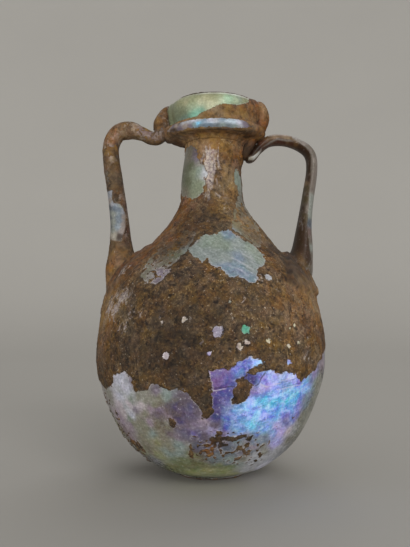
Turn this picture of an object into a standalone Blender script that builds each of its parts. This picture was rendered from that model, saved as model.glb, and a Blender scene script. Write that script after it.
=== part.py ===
"""Two-handled glass flask: a free-blown hollow vessel with a collared mouth and two fused handles.

Blender 4.5, metres, +Z up. The origin is the middle of the flattened base, +X runs through the two
handles, the thick rod at -X and the thin strap at +X. Everything was joined hot, so the flask is one
piece of glass and one object, vase.
"""
import math

import bmesh
import bpy
import numpy as np
from mathutils import Matrix

MM = 0.001              # every length below is in millimetres

# vessel
HEIGHT = 133.3          # base to the highest point of the mouth
BODY_RADIUS = 40.5      # at the widest level
BODY_LEVEL = 42.5       # height of the widest level
BASE_RADIUS = 10.0      # flattened underside that the flask stands on
NECK_RADIUS = 10.5
NECK_FOOT = 100.0       # where the shoulder has become the neck
NECK_TOP = 117.0        # where the neck starts to flare into the collar
WALL = 2.0
BASE_WALL = 3.0
SEGMENTS = 44           # facets round the axis

# collar: a rolled ring with a short in-curved cup above it
RING_RADIUS = 17.5      # outermost reach of the ring
RING_ROLL = 1.8         # radius of the roll itself
RING_LEVEL = 121.8
CUP_RADIUS = 16.2
CUP_LEVEL = 128.5       # where the cup is widest
MOUTH_RADIUS = 9.2

# the hand-blown axis is not straight: how far its middle sits towards +X at each height
AXIS_DRIFT = [(0.0, 0.0), (68.0, 0.0), (88.0, 0.8), (105.0, 0.1), (120.0, 1.1), (HEIGHT, 1.1)]

# handles
ROD_DEPTH = 1.15        # depth of the rod's section along Y, for each unit of its thickness
STRAP_DEPTH = 1.8       # the same for the strap
HANDLE_BEVEL = 3        # bevel resolution: 10 sides

GLASS_GREEN = (0.46, 0.52, 0.40, 1.0)


def smooth(points, steps):
    """Catmull-Rom curve through the points, with this many steps from each point to the next."""
    knots = np.array([points[0], *points, points[-1]], dtype=float)
    knots[0] += knots[1] - knots[2]
    knots[-1] += knots[-2] - knots[-3]
    t = np.linspace(0.0, 1.0, steps, endpoint=False)[:, None]
    curve = []
    for a, b, c, d in zip(knots, knots[1:], knots[2:], knots[3:]):
        curve.extend(0.5 * (2 * b + (c - a) * t + (2 * a - 5 * b + 4 * c - d) * t ** 2
                            + (3 * b - a - 3 * c + d) * t ** 3))
    curve.append(knots[-2])
    return np.array(curve)


def arc(centre, radius, start, end, steps):
    """Points on an arc in the profile plane, angles in degrees from the outward direction."""
    turns = np.radians(np.linspace(start, end, steps))
    return np.array(centre) + radius * np.stack([np.cos(turns), np.sin(turns)], axis=1)


def body_outline(steps):
    """Radius and height down the outside of neck, shoulder and body to the edge of the base."""
    return smooth([
        (NECK_RADIUS - 0.4, NECK_TOP),
        (NECK_RADIUS + 0.4, NECK_FOOT + 4.0),
        (NECK_RADIUS + 1.6, NECK_FOOT - 5.5),
        (NECK_RADIUS + 10.7, NECK_FOOT - 18.0),
        (BODY_RADIUS - 7.7, BODY_LEVEL + 27.5),
        (BODY_RADIUS - 2.2, BODY_LEVEL + 15.5),
        (BODY_RADIUS, BODY_LEVEL),
        (BODY_RADIUS - 1.9, BODY_LEVEL - 12.5),
        (BODY_RADIUS - 8.9, BODY_LEVEL - 28.0),
        (BASE_RADIUS + 11.9, 5.0),
        (BASE_RADIUS + 4.5, 1.6),
        (BASE_RADIUS, 0.0),
    ], steps)


def collar_outline():
    """Radius and height from the middle of the closed top over lip, cup and ring to the neck."""
    cup = smooth([
        (MOUTH_RADIUS, HEIGHT - 1.2),
        (MOUTH_RADIUS + 1.8, HEIGHT - 0.2),
        (MOUTH_RADIUS + 4.0, HEIGHT),
        (CUP_RADIUS - 0.9, HEIGHT - 1.1),
        (CUP_RADIUS - 0.1, HEIGHT - 2.6),
        (CUP_RADIUS, CUP_LEVEL),
        (CUP_RADIUS - 0.8, RING_LEVEL + RING_ROLL + 0.9),
    ], 2)
    ring = arc((RING_RADIUS - RING_ROLL, RING_LEVEL), RING_ROLL, 75, -100, 8)
    flare = smooth([
        (RING_RADIUS - RING_ROLL - 1.8, RING_LEVEL - RING_ROLL + 0.1),
        (NECK_RADIUS + 1.6, RING_LEVEL - RING_ROLL - 0.6),
        (NECK_RADIUS + 0.1, NECK_TOP + 1.2),
    ], 2)
    return np.concatenate([[(0.0, HEIGHT - 1.2)], cup, ring, flare])


def cavity_outline():
    """Radius and height of the hollow, from above the mouth down to the middle of the floor."""
    mouth = [(0.0, HEIGHT + 3.0), (MOUTH_RADIUS, HEIGHT + 3.0), (MOUTH_RADIUS, HEIGHT - 1.6)]
    cup = smooth([
        (MOUTH_RADIUS + 0.4, HEIGHT - 2.2),
        (CUP_RADIUS - 3.4, HEIGHT - 3.6),
        (CUP_RADIUS - WALL, CUP_LEVEL),
        (CUP_RADIUS - WALL - 1.4, RING_LEVEL + 2.4),
        (NECK_RADIUS - 0.3, RING_LEVEL - 0.6),
        (NECK_RADIUS - WALL + 0.2, NECK_TOP + 1.4),
    ], 2)
    outside = body_outline(2)
    along = np.gradient(outside, axis=0)
    inward = np.stack([along[:, 1], -along[:, 0]], axis=1)
    inside = outside + WALL * inward / np.linalg.norm(inward, axis=1, keepdims=True)
    inside = inside[:-3:2]
    floor = [(BASE_RADIUS, BASE_WALL + 0.6), (0.0, BASE_WALL)]
    return np.concatenate([mouth, cup, inside, floor])


def link(obj, collection):
    collection.objects.link(obj)
    return obj


def as_guide(obj):
    obj.hide_render = True
    obj.display_type = "WIRE"
    return obj


def turned(name, outline, collection):
    """Solid of revolution from an outline of radius and height that starts and ends on the axis."""
    verts = [(radius * MM, 0.0, height * MM) for radius, height in outline]
    edges = [(i, i + 1) for i in range(len(verts) - 1)]
    profile = bpy.data.meshes.new(name + "_profile")
    profile.from_pydata(verts, edges, [])
    blank = link(bpy.data.objects.new(name + "_blank", profile), collection)
    screw = blank.modifiers.new("Turn", "SCREW")
    screw.steps = SEGMENTS
    screw.render_steps = SEGMENTS
    screw.use_merge_vertices = True
    screw.merge_threshold = 0.00001
    return link(bpy.data.objects.new(name, made_mesh(blank, name)), collection)


def made_mesh(obj, name):
    """The evaluated shape of a curve or modified object as a welded mesh; the object is removed."""
    evaluated = obj.evaluated_get(bpy.context.evaluated_depsgraph_get())
    mesh = bpy.data.meshes.new_from_object(evaluated)
    mesh.name = name
    mesh.transform(obj.matrix_world)
    shape = bmesh.new()
    shape.from_mesh(mesh)
    bmesh.ops.remove_doubles(shape, verts=shape.verts, dist=0.00001)
    shape.to_mesh(mesh)
    shape.free()
    bpy.data.objects.remove(obj)
    return mesh


def drift(mesh):
    """Carry each level of a turned shape sideways to where the real axis runs."""
    heights, shifts = smooth(AXIS_DRIFT, 6).T
    for vert in mesh.vertices:
        vert.co.x += MM * np.interp(vert.co.z / MM, heights, shifts)


def handle(name, route, depth, collection):
    """A tube along the route, whose points are X, Y, Z and thickness, deepened along Y."""
    route = smooth(route, 3)
    curve = bpy.data.curves.new(name + "_route", "CURVE")
    curve.dimensions = "3D"
    curve.bevel_depth = 0.5 * MM
    curve.bevel_resolution = HANDLE_BEVEL
    curve.use_fill_caps = True
    spline = curve.splines.new("POLY")
    spline.points.add(len(route) - 1)
    for point, (x, y, z, thickness) in zip(spline.points, route):
        point.co = (x * MM, y / depth * MM, z * MM, 1.0)
        point.radius = thickness
    tube = link(bpy.data.objects.new(name + "_tube", curve), collection)
    mesh = made_mesh(tube, name)
    mesh.transform(Matrix.Diagonal((1.0, depth, 1.0, 1.0)))
    return link(bpy.data.objects.new(name, mesh), collection)


def rod_handle(collection):
    """Thick rod: spread foot on the shoulder, straight shaft, square bend and an end pressed
    up against the collar."""
    return handle("rod", [
        (-33.4, 0.0, 54.5, 6.0),
        (-32.6, 0.0, 60.0, 10.4),
        (-31.9, 0.0, 67.0, 12.2),
        (-32.2, 0.0, 73.5, 11.8),
        (-32.7, 0.0, 79.5, 8.6),
        (-33.2, 0.0, 87.5, 7.0),
        (-34.6, 0.0, 99.6, 6.4),
        (-36.4, 0.0, 111.5, 6.0),
        (-36.6, 0.0, 118.0, 6.0),
        (-34.2, 0.0, 122.4, 6.2),
        (-29.8, 0.0, 123.4, 6.4),
        (-25.3, 0.0, 122.1, 5.0),
        (-21.0, 0.0, 120.5, 4.8),
        (-18.3, 0.0, 122.2, 5.8),
        (-17.6, 0.0, 126.0, 6.6),
        (-16.9, 0.0, 130.0, 5.6),
        (-15.6, 0.0, 132.2, 2.8),
    ], ROD_DEPTH, collection)


def strap_handle(collection):
    """Thin strap: spread foot, shaft and a low arch that dips in to touch the neck."""
    return handle("strap", [
        (32.0, 0.0, 57.5, 5.0),
        (31.6, 0.0, 62.5, 8.6),
        (31.4, 0.0, 67.5, 9.6),
        (31.8, 0.0, 73.0, 10.2),
        (33.2, 0.0, 79.4, 7.6),
        (34.0, 0.0, 88.5, 5.2),
        (35.4, 0.0, 98.5, 4.3),
        (36.9, 0.0, 108.5, 4.0),
        (36.2, -0.3, 114.3, 4.0),
        (32.6, -0.6, 117.6, 4.0),
        (27.0, -0.8, 119.5, 3.9),
        (21.2, -1.0, 119.2, 3.9),
        (17.2, -1.2, 116.2, 3.5),
        (14.6, -1.3, 113.0, 3.4),
        (12.4, -1.4, 113.0, 3.6),
    ], STRAP_DEPTH, collection)


def strap_end(collection):
    """The strap's last reach: from the hairpin at the neck up and over the side of the collar."""
    return handle("strap_end", [
        (13.6, -1.4, 112.4, 2.8),
        (12.6, -1.4, 114.4, 3.4),
        (14.6, -1.6, 118.6, 3.6),
        (17.2, -1.8, 122.6, 4.2),
        (18.8, -2.0, 127.0, 4.6),
        (17.8, -2.0, 130.8, 4.2),
        (15.4, -2.0, 132.4, 2.8),
    ], STRAP_DEPTH, collection)


def glass():
    material = bpy.data.materials.new("weathered_glass")
    material.use_nodes = True
    shader = material.node_tree.nodes["Principled BSDF"]
    shader.inputs["Base Color"].default_value = GLASS_GREEN
    shader.inputs["Roughness"].default_value = 0.45
    shader.inputs["Metallic"].default_value = 0.0
    return material


def combine(target, other, operation):
    cut = target.modifiers.new(other.name, "BOOLEAN")
    cut.operation = operation
    cut.solver = "EXACT"
    cut.object = as_guide(other)


def build():
    for obj in list(bpy.data.objects):
        bpy.data.objects.remove(obj)
    parts = bpy.data.collections.new("handled_glass_vase")
    guides = bpy.data.collections.new("guides")
    bpy.context.scene.collection.children.link(parts)
    bpy.context.scene.collection.children.link(guides)

    outline = np.concatenate([collar_outline(), body_outline(2), [(0.0, 0.0)]])
    vase = turned("vase", outline, parts)
    hollow = turned("hollow", cavity_outline(), guides)
    drift(vase.data)
    drift(hollow.data)
    for piece in (rod_handle(guides), strap_handle(guides), strap_end(guides)):
        combine(vase, piece, "UNION")
    combine(vase, hollow, "DIFFERENCE")
    vase.data.shade_smooth()
    vase.data.set_sharp_from_angle(angle=math.radians(50))
    vase.data.materials.append(glass())


build()
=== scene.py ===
# Handled glass vase: a blown two-handled flask of pale green glass, long buried. Brown crust covers
# most of it, and where the crust has flaked away an iridescent film or the bare glass shows.
# Lengths are millimetres and angles degrees unless a line says otherwise; meshes are in metres.
# A place on the vessel is (angle, height): the angle from the front (-Y) towards the strap (+X).
import math

import bmesh
import bpy
import numpy as np
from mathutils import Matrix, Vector


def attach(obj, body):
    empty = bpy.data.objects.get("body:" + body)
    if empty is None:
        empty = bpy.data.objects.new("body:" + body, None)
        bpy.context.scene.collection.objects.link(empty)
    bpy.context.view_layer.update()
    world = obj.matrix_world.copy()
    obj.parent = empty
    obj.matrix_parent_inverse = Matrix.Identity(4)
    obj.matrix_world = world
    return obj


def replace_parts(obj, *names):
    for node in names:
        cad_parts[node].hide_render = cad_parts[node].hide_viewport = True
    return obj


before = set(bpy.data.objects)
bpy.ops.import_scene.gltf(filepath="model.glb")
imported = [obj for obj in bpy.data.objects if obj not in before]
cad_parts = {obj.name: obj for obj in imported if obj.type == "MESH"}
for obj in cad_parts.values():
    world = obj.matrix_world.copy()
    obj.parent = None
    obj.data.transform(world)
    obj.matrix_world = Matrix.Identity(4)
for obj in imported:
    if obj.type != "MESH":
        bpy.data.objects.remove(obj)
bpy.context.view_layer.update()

mm = 0.001
print("frame loaded:", sorted(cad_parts))


def resample(line, run, places):
    # the line's numbers at the given distances along it
    return np.stack([np.interp(places, run, line[:, k]) for k in range(line.shape[1])], axis=1)


def runAlong(line):
    # distance along the line to each of its points, by their first two or three numbers
    steps = np.linalg.norm(np.diff(line[:, :3], axis=0), axis=1)
    return np.concatenate([[0], np.cumsum(steps)])


def smoothLine(points, count):
    # Catmull-Rom curve through the points, resampled to count points at even distances
    knots = np.array([points[0], *points, points[-1]], float)
    knots[0] += knots[1] - knots[2]
    knots[-1] += knots[-2] - knots[-3]
    t = np.linspace(0, 1, 24, endpoint=False)[:, None]
    a, b, c, d = (knots[i:len(knots) - 3 + i, None, :] for i in range(4))
    fine = 0.5 * (2 * b + (c - a) * t + (2 * a - 5 * b + 4 * c - d) * t ** 2
                  + (3 * b - a - 3 * c + d) * t ** 3)
    fine = np.concatenate([fine.reshape(-1, knots.shape[1]), knots[-2:-1]])
    run = runAlong(fine)
    return resample(fine, run, np.linspace(0, run[-1], count))


def cellValue(x, y, z, seed):
    # a repeatable number from 0 to 1 for each whole-numbered cell, by mixing up its bits
    n = x * 374761393 + y * 668265263 + z * 1440662683 + seed * 1274126177
    n = (n ^ (n >> 13)) * 1274126177
    return ((n ^ (n >> 16)) & 0xFFFF) / 65535.0


def lumps(points, size, seed, layers=3):
    # value noise from -1 to 1: random heights at the corners of cells of the given size, blended
    # smoothly; each further layer has half the cell size and half the strength
    total, reach, strength = 0.0, 0.0, 1.0
    for layer in range(layers):
        spot = points / size * 2 ** layer + 17.3 * layer
        cell = np.floor(spot).astype(np.int64)
        f = spot - cell
        f = f * f * (3 - 2 * f)
        value = 0.0
        for corner in range(8):
            dx, dy, dz = corner & 1, corner >> 1 & 1, corner >> 2
            weight = ((f[..., 0] if dx else 1 - f[..., 0]) * (f[..., 1] if dy else 1 - f[..., 1])
                      * (f[..., 2] if dz else 1 - f[..., 2]))
            value = value + weight * cellValue(cell[..., 0] + dx, cell[..., 1] + dy,
                                               cell[..., 2] + dz, seed + layer)
        total = total + strength * (2 * value - 1)
        reach += strength
        strength *= 0.5
    return total / reach


def wobble(points, size, seeds):
    # two lumps fields side by side, one for each seed, to shift places by
    return np.stack([lumps(points, size, seed) for seed in seeds], axis=-1)


def ease(x, low, high):
    # smooth step: 0 before low, 1 after high, and 3t^2 - 2t^3 of the share t between them
    t = np.clip((x - low) / (high - low), 0, 1)
    return t * t * (3 - 2 * t)


def edgeDistance(flat, places):
    # distance of flat points (... x 2) from the nearest straight stretch between the places
    nearest = np.full(flat.shape[:-1], np.inf)
    for start, end in zip(places[:-1], places[1:]):
        edge = end - start
        share = np.clip((flat - start) @ edge / (edge @ edge), 0, 1)[..., None]
        nearest = np.minimum(nearest, np.linalg.norm(flat - start - share * edge, axis=-1))
    return nearest


def insideBy(flat, outline):
    # signed distance of flat points from a closed outline, positive inside: the nearest edge, with
    # the sign from how many edges a line to the right crosses
    closed = np.array([*outline, outline[0]], float)
    inside = np.zeros(flat.shape[:-1], bool)
    for start, end in zip(closed[:-1], closed[1:]):
        spans = (start[1] > flat[..., 1]) != (end[1] > flat[..., 1])
        edge = end - start
        slope = edge[0] / edge[1] if edge[1] else 0.0      # a level edge is never crossed
        inside ^= spans & (flat[..., 0] < start[0] + (flat[..., 1] - start[1]) * slope)
    nearest = edgeDistance(flat, closed)
    return np.where(inside, nearest, -nearest)


def closePoles(mesh):
    # where a whole row lies on one spot its points are welded into one
    shape = bmesh.new()
    shape.from_mesh(mesh)
    bmesh.ops.remove_doubles(shape, verts=shape.verts, dist=0.002 * mm)
    shape.to_mesh(mesh)
    shape.free()


def placed(name, content):
    # an object that holds a mesh, lamp or camera, put into the scene
    holder = bpy.data.objects.new(name, content)
    bpy.context.scene.collection.objects.link(holder)
    return holder


def gridMesh(name, spots, fields, material):
    # a skin over spots in metres, rows x columns x 3, that closes on itself along each row. Rows
    # run up the outside and the columns turn left to right, so the faces point outwards; each
    # field of numbers or colours becomes an attribute of the points.
    rows, columns = spots.shape[:2]
    index = np.arange(rows * columns).reshape(rows, columns)
    right = np.roll(index, -1, axis=1)
    quads = np.stack([index[:-1], right[:-1], right[1:], index[1:]], axis=-1).reshape(-1, 4)
    mesh = bpy.data.meshes.new(name)
    mesh.from_pydata(spots.reshape(-1, 3).tolist(), [], quads.tolist())
    for field, values in fields.items():
        if values.ndim == 3:
            layer = mesh.attributes.new(field, "FLOAT_COLOR", "POINT")
            colours = np.ones((rows * columns, 4), np.float32)
            colours[:, :3] = values.reshape(-1, 3)
            layer.data.foreach_set("color", colours.ravel())
        else:
            layer = mesh.attributes.new(field, "FLOAT", "POINT")
            layer.data.foreach_set("value", values.ravel().astype(np.float32))
    closePoles(mesh)
    mesh.shade_smooth()
    mesh.materials.append(material)
    return placed(name, mesh)


def gridPiece(name, spots, fields, material):
    # a piece of the flask from spots in millimetres, riding on its one body
    piece = gridMesh(name, spots * mm, fields, material)
    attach(piece, "root")
    print(name, "has", sum(len(face.vertices) - 2 for face in piece.data.polygons), "triangles")
    return piece


def linear(colour):
    # 0-255 screen colours to the linear values that shaders and attributes hold
    c = np.asarray(colour, float) / 255
    return np.where(c > 0.04045, ((c + 0.055) / 1.055) ** 2.4, c / 12.92)


# the weathered film's colours, as they look in soft light; the cup's cream, bright, light and mint
# tones are painted highlights, and the lip's olive is painted shade
filmTones = {
    "nightViolet": (62, 58, 104), "violet": (88, 80, 132), "periwinkle": (120, 124, 194),
    "sky": (146, 182, 236), "cyan": (118, 192, 226), "paleBlue": (164, 174, 228),
    "dustyViolet": (112, 104, 152), "lilac": (164, 156, 204), "slate": (108, 116, 158),
    "greyLilac": (108, 98, 110), "pearl": (156, 157, 162), "whitePearl": (176, 177, 190),
    "pearlPink": (172, 163, 168), "pinkGrey": (140, 126, 138), "moss": (120, 118, 102),
    "oliveMoss": (132, 131, 100), "olive": (128, 131, 92), "tealGrey": (122, 134, 130),
    "blueGrey": (112, 124, 142), "smoke": (124, 122, 112), "silverGreen": (119, 129, 118),
    "silver": (124, 131, 128), "silverBlue": (108, 122, 135), "cream": (186, 180, 152),
    "mintHighlight": (146, 178, 150), "whiteBlue": (160, 172, 182), "skin": (150, 136, 128),
    "strawGlass": (112, 105, 80), "brownGlass": (96, 88, 66), "umber": (66, 51, 38),
    "brownSkin": (84, 67, 50), "greenGlass": (112, 118, 99), "dustyLilac": (142, 136, 170),
    "plum": (88, 68, 112), "mutedLilac": (100, 94, 108), "teal": (80, 136, 114),
    "lipShadeOlive": (92, 92, 66), "steelBlue": (98, 112, 170), "blue": (126, 152, 206),
    "cupCreamHighlight": (148, 144, 114), "cupOlive": (132, 133, 102), "cupTeal": (120, 172, 152),
    "cupMoss": (112, 117, 92), "dimGreen": (84, 87, 68), "dimSmoke": (106, 101, 88),
    "dimPearl": (122, 119, 112), "dimLilac": (86, 77, 84), "dustBlue": (104, 112, 118),
    "dusk": (84, 77, 98), "mauve": (118, 104, 124), "dimSlate": (82, 86, 96),
    "cupShade": (90, 106, 96), "cupGreen": (102, 140, 124), "cupLightHighlight": (156, 166, 138),
    "cupBrightHighlight": (178, 176, 148), "azure": (130, 166, 228), "freshOlive": (104, 108, 78),
}
filmTones = {name: 1.3 * linear(colour) for name, colour in filmTones.items()}


def tonedPlaces(groups, tones):
    # every place listed under some tone, in one list, and beside it the colour of each
    places = [place for group in groups.values() for place in group]
    return places, np.stack([tones[tone] for tone, group in groups.items() for _ in group])


def blendPlaces(distances, values, near):
    # every place pulls by one over its distance to the fourth, softened within near
    pull = 1 / (distances ** 2 + near ** 2) ** 2
    return np.tensordot(pull, values, axes=([0], [0])) / pull.sum(axis=0)[..., None]


vessel = {
    "outline": [   # radius and height, up the outside from the base
        (0.0, 0.0), (5.0, 0.0), (10.0, 0.0), (14.5, 1.6), (21.9, 5.0), (31.6, 14.5), (38.6, 30.0),
        (40.5, 42.5), (38.3, 58.0), (32.8, 70.0), (21.2, 82.0), (12.1, 94.5), (10.9, 104.0),
        (10.1, 117.0), (10.6, 118.2), (12.1, 119.4), (14.2, 119.9)],
    "ring": {"radius": 17.5, "roll": 1.8, "height": 121.8},
    "cup": [   # from the crease over the ring to the lip of the mouth, then down inside
        (15.4, 124.5), (16.2, 128.5), (16.1, 130.7), (15.3, 132.2), (13.2, 133.3), (11.0, 133.1),
        (9.6, 132.3), (9.2, 131.0), (9.8, 129.8)],
    "inside": [   # on from the mouth down the inner wall to the floor
        (13.2, 129.0), (14.1, 127.6), (13.2, 124.6), (10.2, 121.2), (8.7, 118.4), (8.1, 116.9),
        (8.9, 103.9), (10.3, 93.7), (19.7, 80.7), (31.2, 68.8), (36.4, 57.5), (38.5, 42.5),
        (36.7, 30.6), (29.9, 15.6), (20.8, 6.6), (10.0, 3.6), (0.0, 3.0)],
    "drift": [(0, 0), (68, 0), (88, 0.8), (105, 0.1), (120, 1.1), (136, 1.1)],   # axis, towards +X
    "points": 4000,        # along the outside line
    "neckTop": 118.0,      # a place listed higher than this is on the cup, above the ring
    "cupFoot": 124.6,      # the lowest height of the cup; a place under it counts as at its foot
    "crowding": 0.45,      # how far the columns crowd towards the front, 0 to 1
    "columns": 468,
    "seam": 84.0,          # height where the body's skin ends and the neck's begins
}


def vesselLine():
    # the whole outside as one smooth line of radius and height, with the ring's roll as an arc
    ring = vessel["ring"]
    turn = np.radians(np.linspace(-100, 70, 9))
    roll = np.stack([ring["radius"] - ring["roll"] + ring["roll"] * np.cos(turn),
                     ring["height"] + ring["roll"] * np.sin(turn)], axis=1)
    return smoothLine([*vessel["outline"], *roll, *vessel["cup"]], vessel["points"])


outside = vesselLine()
outsideRun = runAlong(outside)
neckTop = int(np.argmax(outside[:, 1] > vessel["neckTop"]))      # the line rises as far as this
lipTop = int(np.argmax(outside[:, 1]))
cupFoot = int(lipTop - np.argmax(outside[lipTop::-1, 1] < vessel["cupFoot"]))
ringFront = neckTop + int(np.argmax(outside[neckTop:cupFoot, 0]))
ringRun, ringRadius = outsideRun[ringFront], outside[ringFront, 0]
driftHeights, driftSteps = smoothLine(vessel["drift"], 60).T


def runAt(height):
    # distance up the outside to a height, on the body and neck or, above the ring, on the cup
    height = np.asarray(height, float)
    low = np.interp(height, outside[:neckTop, 1], outsideRun[:neckTop])
    high = np.interp(height, outside[cupFoot:lipTop, 1], outsideRun[cupFoot:lipTop])
    return np.where(height > vessel["neckTop"], high, low)


def turnedSpots(line, angles, lift=0.0):
    # a point for each line entry and angle in radians, lifted along the profile's outward normal
    way = np.gradient(line, axis=0)
    way /= np.linalg.norm(way, axis=1, keepdims=True)
    radius = line[:, :1] + lift * way[:, 1:]
    high = line[:, 1:2] - lift * way[:, :1] + 0 * angles
    across = np.interp(line[:, 1], driftHeights, driftSteps)[:, None] + radius * np.sin(angles)
    return np.stack([across, -radius * np.cos(angles), high], axis=-1)


def ringAngles(count):
    # angles in radians at even steps round a ring, as one row
    return (np.arange(count) / count * 2 * np.pi)[None, :]


def columnAngles():
    # the skins' columns, from the back round to the back, drawn to the front by part of their sine
    turn = ringAngles(vessel["columns"]) - np.pi
    return turn - vessel["crowding"] * np.sin(turn)


def unrolled(angles, runs, middle):
    # flat coordinates of surface points: arc length from the middle angle, and run up the profile
    turn = (angles - math.radians(middle) + np.pi) % (2 * np.pi) - np.pi
    return np.stack(np.broadcast_arrays(turn * np.interp(runs, outsideRun, outside[:, 0]), runs),
                    axis=-1)


def unrolledWith(angles, runs, places):
    # surface points and listed (angle, height) places, both made flat about the places' middle
    places = np.array(places, float)
    middle = places[:, 0].mean()
    return (unrolled(angles, runs, middle),
            unrolled(np.radians(places[:, 0]), runAt(places[:, 1]), middle))


def patchBy(angles, runs, outline):
    # signed distance of surface points from an outline of (angle, height) places, positive inside
    return insideBy(*unrolledWith(angles, runs, outline))


def lineDistance(angles, runs, path):
    # distance of surface points from a line drawn through (angle, height) places
    return edgeDistance(*unrolledWith(angles, runs, path))


def placeDistances(angles, runs, places):
    # distance of surface points from each (angle, height) place, in the flat about that place
    far = []
    for angle, height, *_ in places:
        flat = unrolled(angles, runs, angle)
        flat[..., 1] -= runAt(height)
        far.append(np.linalg.norm(flat, axis=-1))
    return np.stack(far)


print("vessel line:", round(float(outsideRun[-1]), 1), "mm from the base to the mouth")


# building the finishes: small helpers for their nodes, then the two groups that materials share
def addNode(tree, kind, inputs=None, **settings):
    # a node with its settings and inputs; an input is a plain value or another node's output
    node = tree.nodes.new("ShaderNode" + kind)
    for key, value in settings.items():
        setattr(node, key, value)
    for key, value in (inputs or {}).items():
        if isinstance(value, bpy.types.NodeSocket):
            tree.links.new(value, node.inputs[key])
        else:
            node.inputs[key].default_value = value
    return node


def noise(tree, vector, scale, detail=3.0, rough=0.55, warp=0.0):
    # random clots about 0.5, with finer detail laid over them; scale is how many lie in a metre
    return addNode(tree, "TexNoise", {"Vector": vector, "Scale": scale, "Detail": detail,
                                      "Roughness": rough, "Distortion": warp}).outputs["Fac"]


def ranged(tree, value, low, high, start=0.0, end=1.0):
    # smooth step: start where the value is at low, end where it is at high
    return addNode(tree, "MapRange", {"Value": value, "From Min": low, "From Max": high,
                                      "To Min": start, "To Max": end},
                   interpolation_type="SMOOTHSTEP").outputs["Result"]


def maths(tree, operation, a, b=0.0, c=0.0, clamp=False):
    # one step of arithmetic on values or outputs
    return addNode(tree, "Math", {0: a, 1: b, 2: c}, operation=operation,
                   use_clamp=clamp).outputs[0]


def times(tree, a, b, clamp=False):
    # a multiplied by b
    return maths(tree, "MULTIPLY", a, b, clamp=clamp)


def timesPlus(tree, a, b, c):
    # a multiplied by b, plus c
    return maths(tree, "MULTIPLY_ADD", a, b, c)


def mixed(tree, amount, a, b):
    # colour a turned into colour b by an amount from 0 to 1
    node = addNode(tree, "Mix", {0: amount}, data_type="RGBA")
    for socket, value in ((node.inputs[6], a), (node.inputs[7], b)):
        if isinstance(value, bpy.types.NodeSocket):
            tree.links.new(value, socket)
        else:
            socket.default_value = (*value, 1.0)
    return node.outputs[2]


def heightOf(tree, place):
    # the height of a spot in metres
    return addNode(tree, "SeparateXYZ", {0: place}).outputs["Z"]


def startFinish(name, inputs):
    # a node group with named inputs, numbers or colours, and the object's own coordinates
    group = bpy.data.node_groups.new(name, "ShaderNodeTree")
    for label, value in inputs.items():
        kind = "NodeSocketFloat" if isinstance(value, float) else "NodeSocketColor"
        group.interface.new_socket(label, in_out="INPUT", socket_type=kind).default_value = value
    given = group.nodes.new("NodeGroupInput").outputs
    return group, given, addNode(group, "TexCoord").outputs["Object"]


def endFinish(group, colour, height):
    # the group puts out its colour and the height of its relief
    for label, kind in (("Color", "NodeSocketColor"), ("Height", "NodeSocketFloat")):
        group.interface.new_socket(label, in_out="OUTPUT", socket_type=kind)
    out = group.nodes.new("NodeGroupOutput")
    group.links.new(colour, out.inputs["Color"])
    group.links.new(height, out.inputs["Height"])
    return group


# the finishes' own colours; the film-rim, scratch and crack tones also serve as painted highlight
# and shade
finishTones = {
    "dark": (46, 34, 23), "mid": (88, 67, 43), "warm": (104, 77, 47), "light": (148, 121, 84),
    "pale": (194, 178, 156), "rust": (136, 86, 45), "pit": (26, 18, 12), "earth": (70, 58, 42),
    "worn": (92, 73, 58), "wornDark": (68, 52, 42), "flakeShade": (146, 132, 132),
    "flake": (190, 178, 166), "milk": (206, 204, 214), "filmPit": (66, 56, 54),
    "filmRimGlint": (196, 188, 186), "scratchAndGlint": (216, 210, 220), "crackAndShade": (46, 36, 50),
    "residue": (128, 116, 88), "paleResidue": (164, 158, 134),
}
finishTones = {name: tuple(linear(colour)) for name, colour in finishTones.items()}


def layered(tree, colour, *layers):
    # the colour covered by each layer in turn: how much of it, and its tone or an output
    for amount, tone in layers:
        colour = mixed(tree, amount, colour, finishTones[tone] if isinstance(tone, str) else tone)
    return colour


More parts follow.
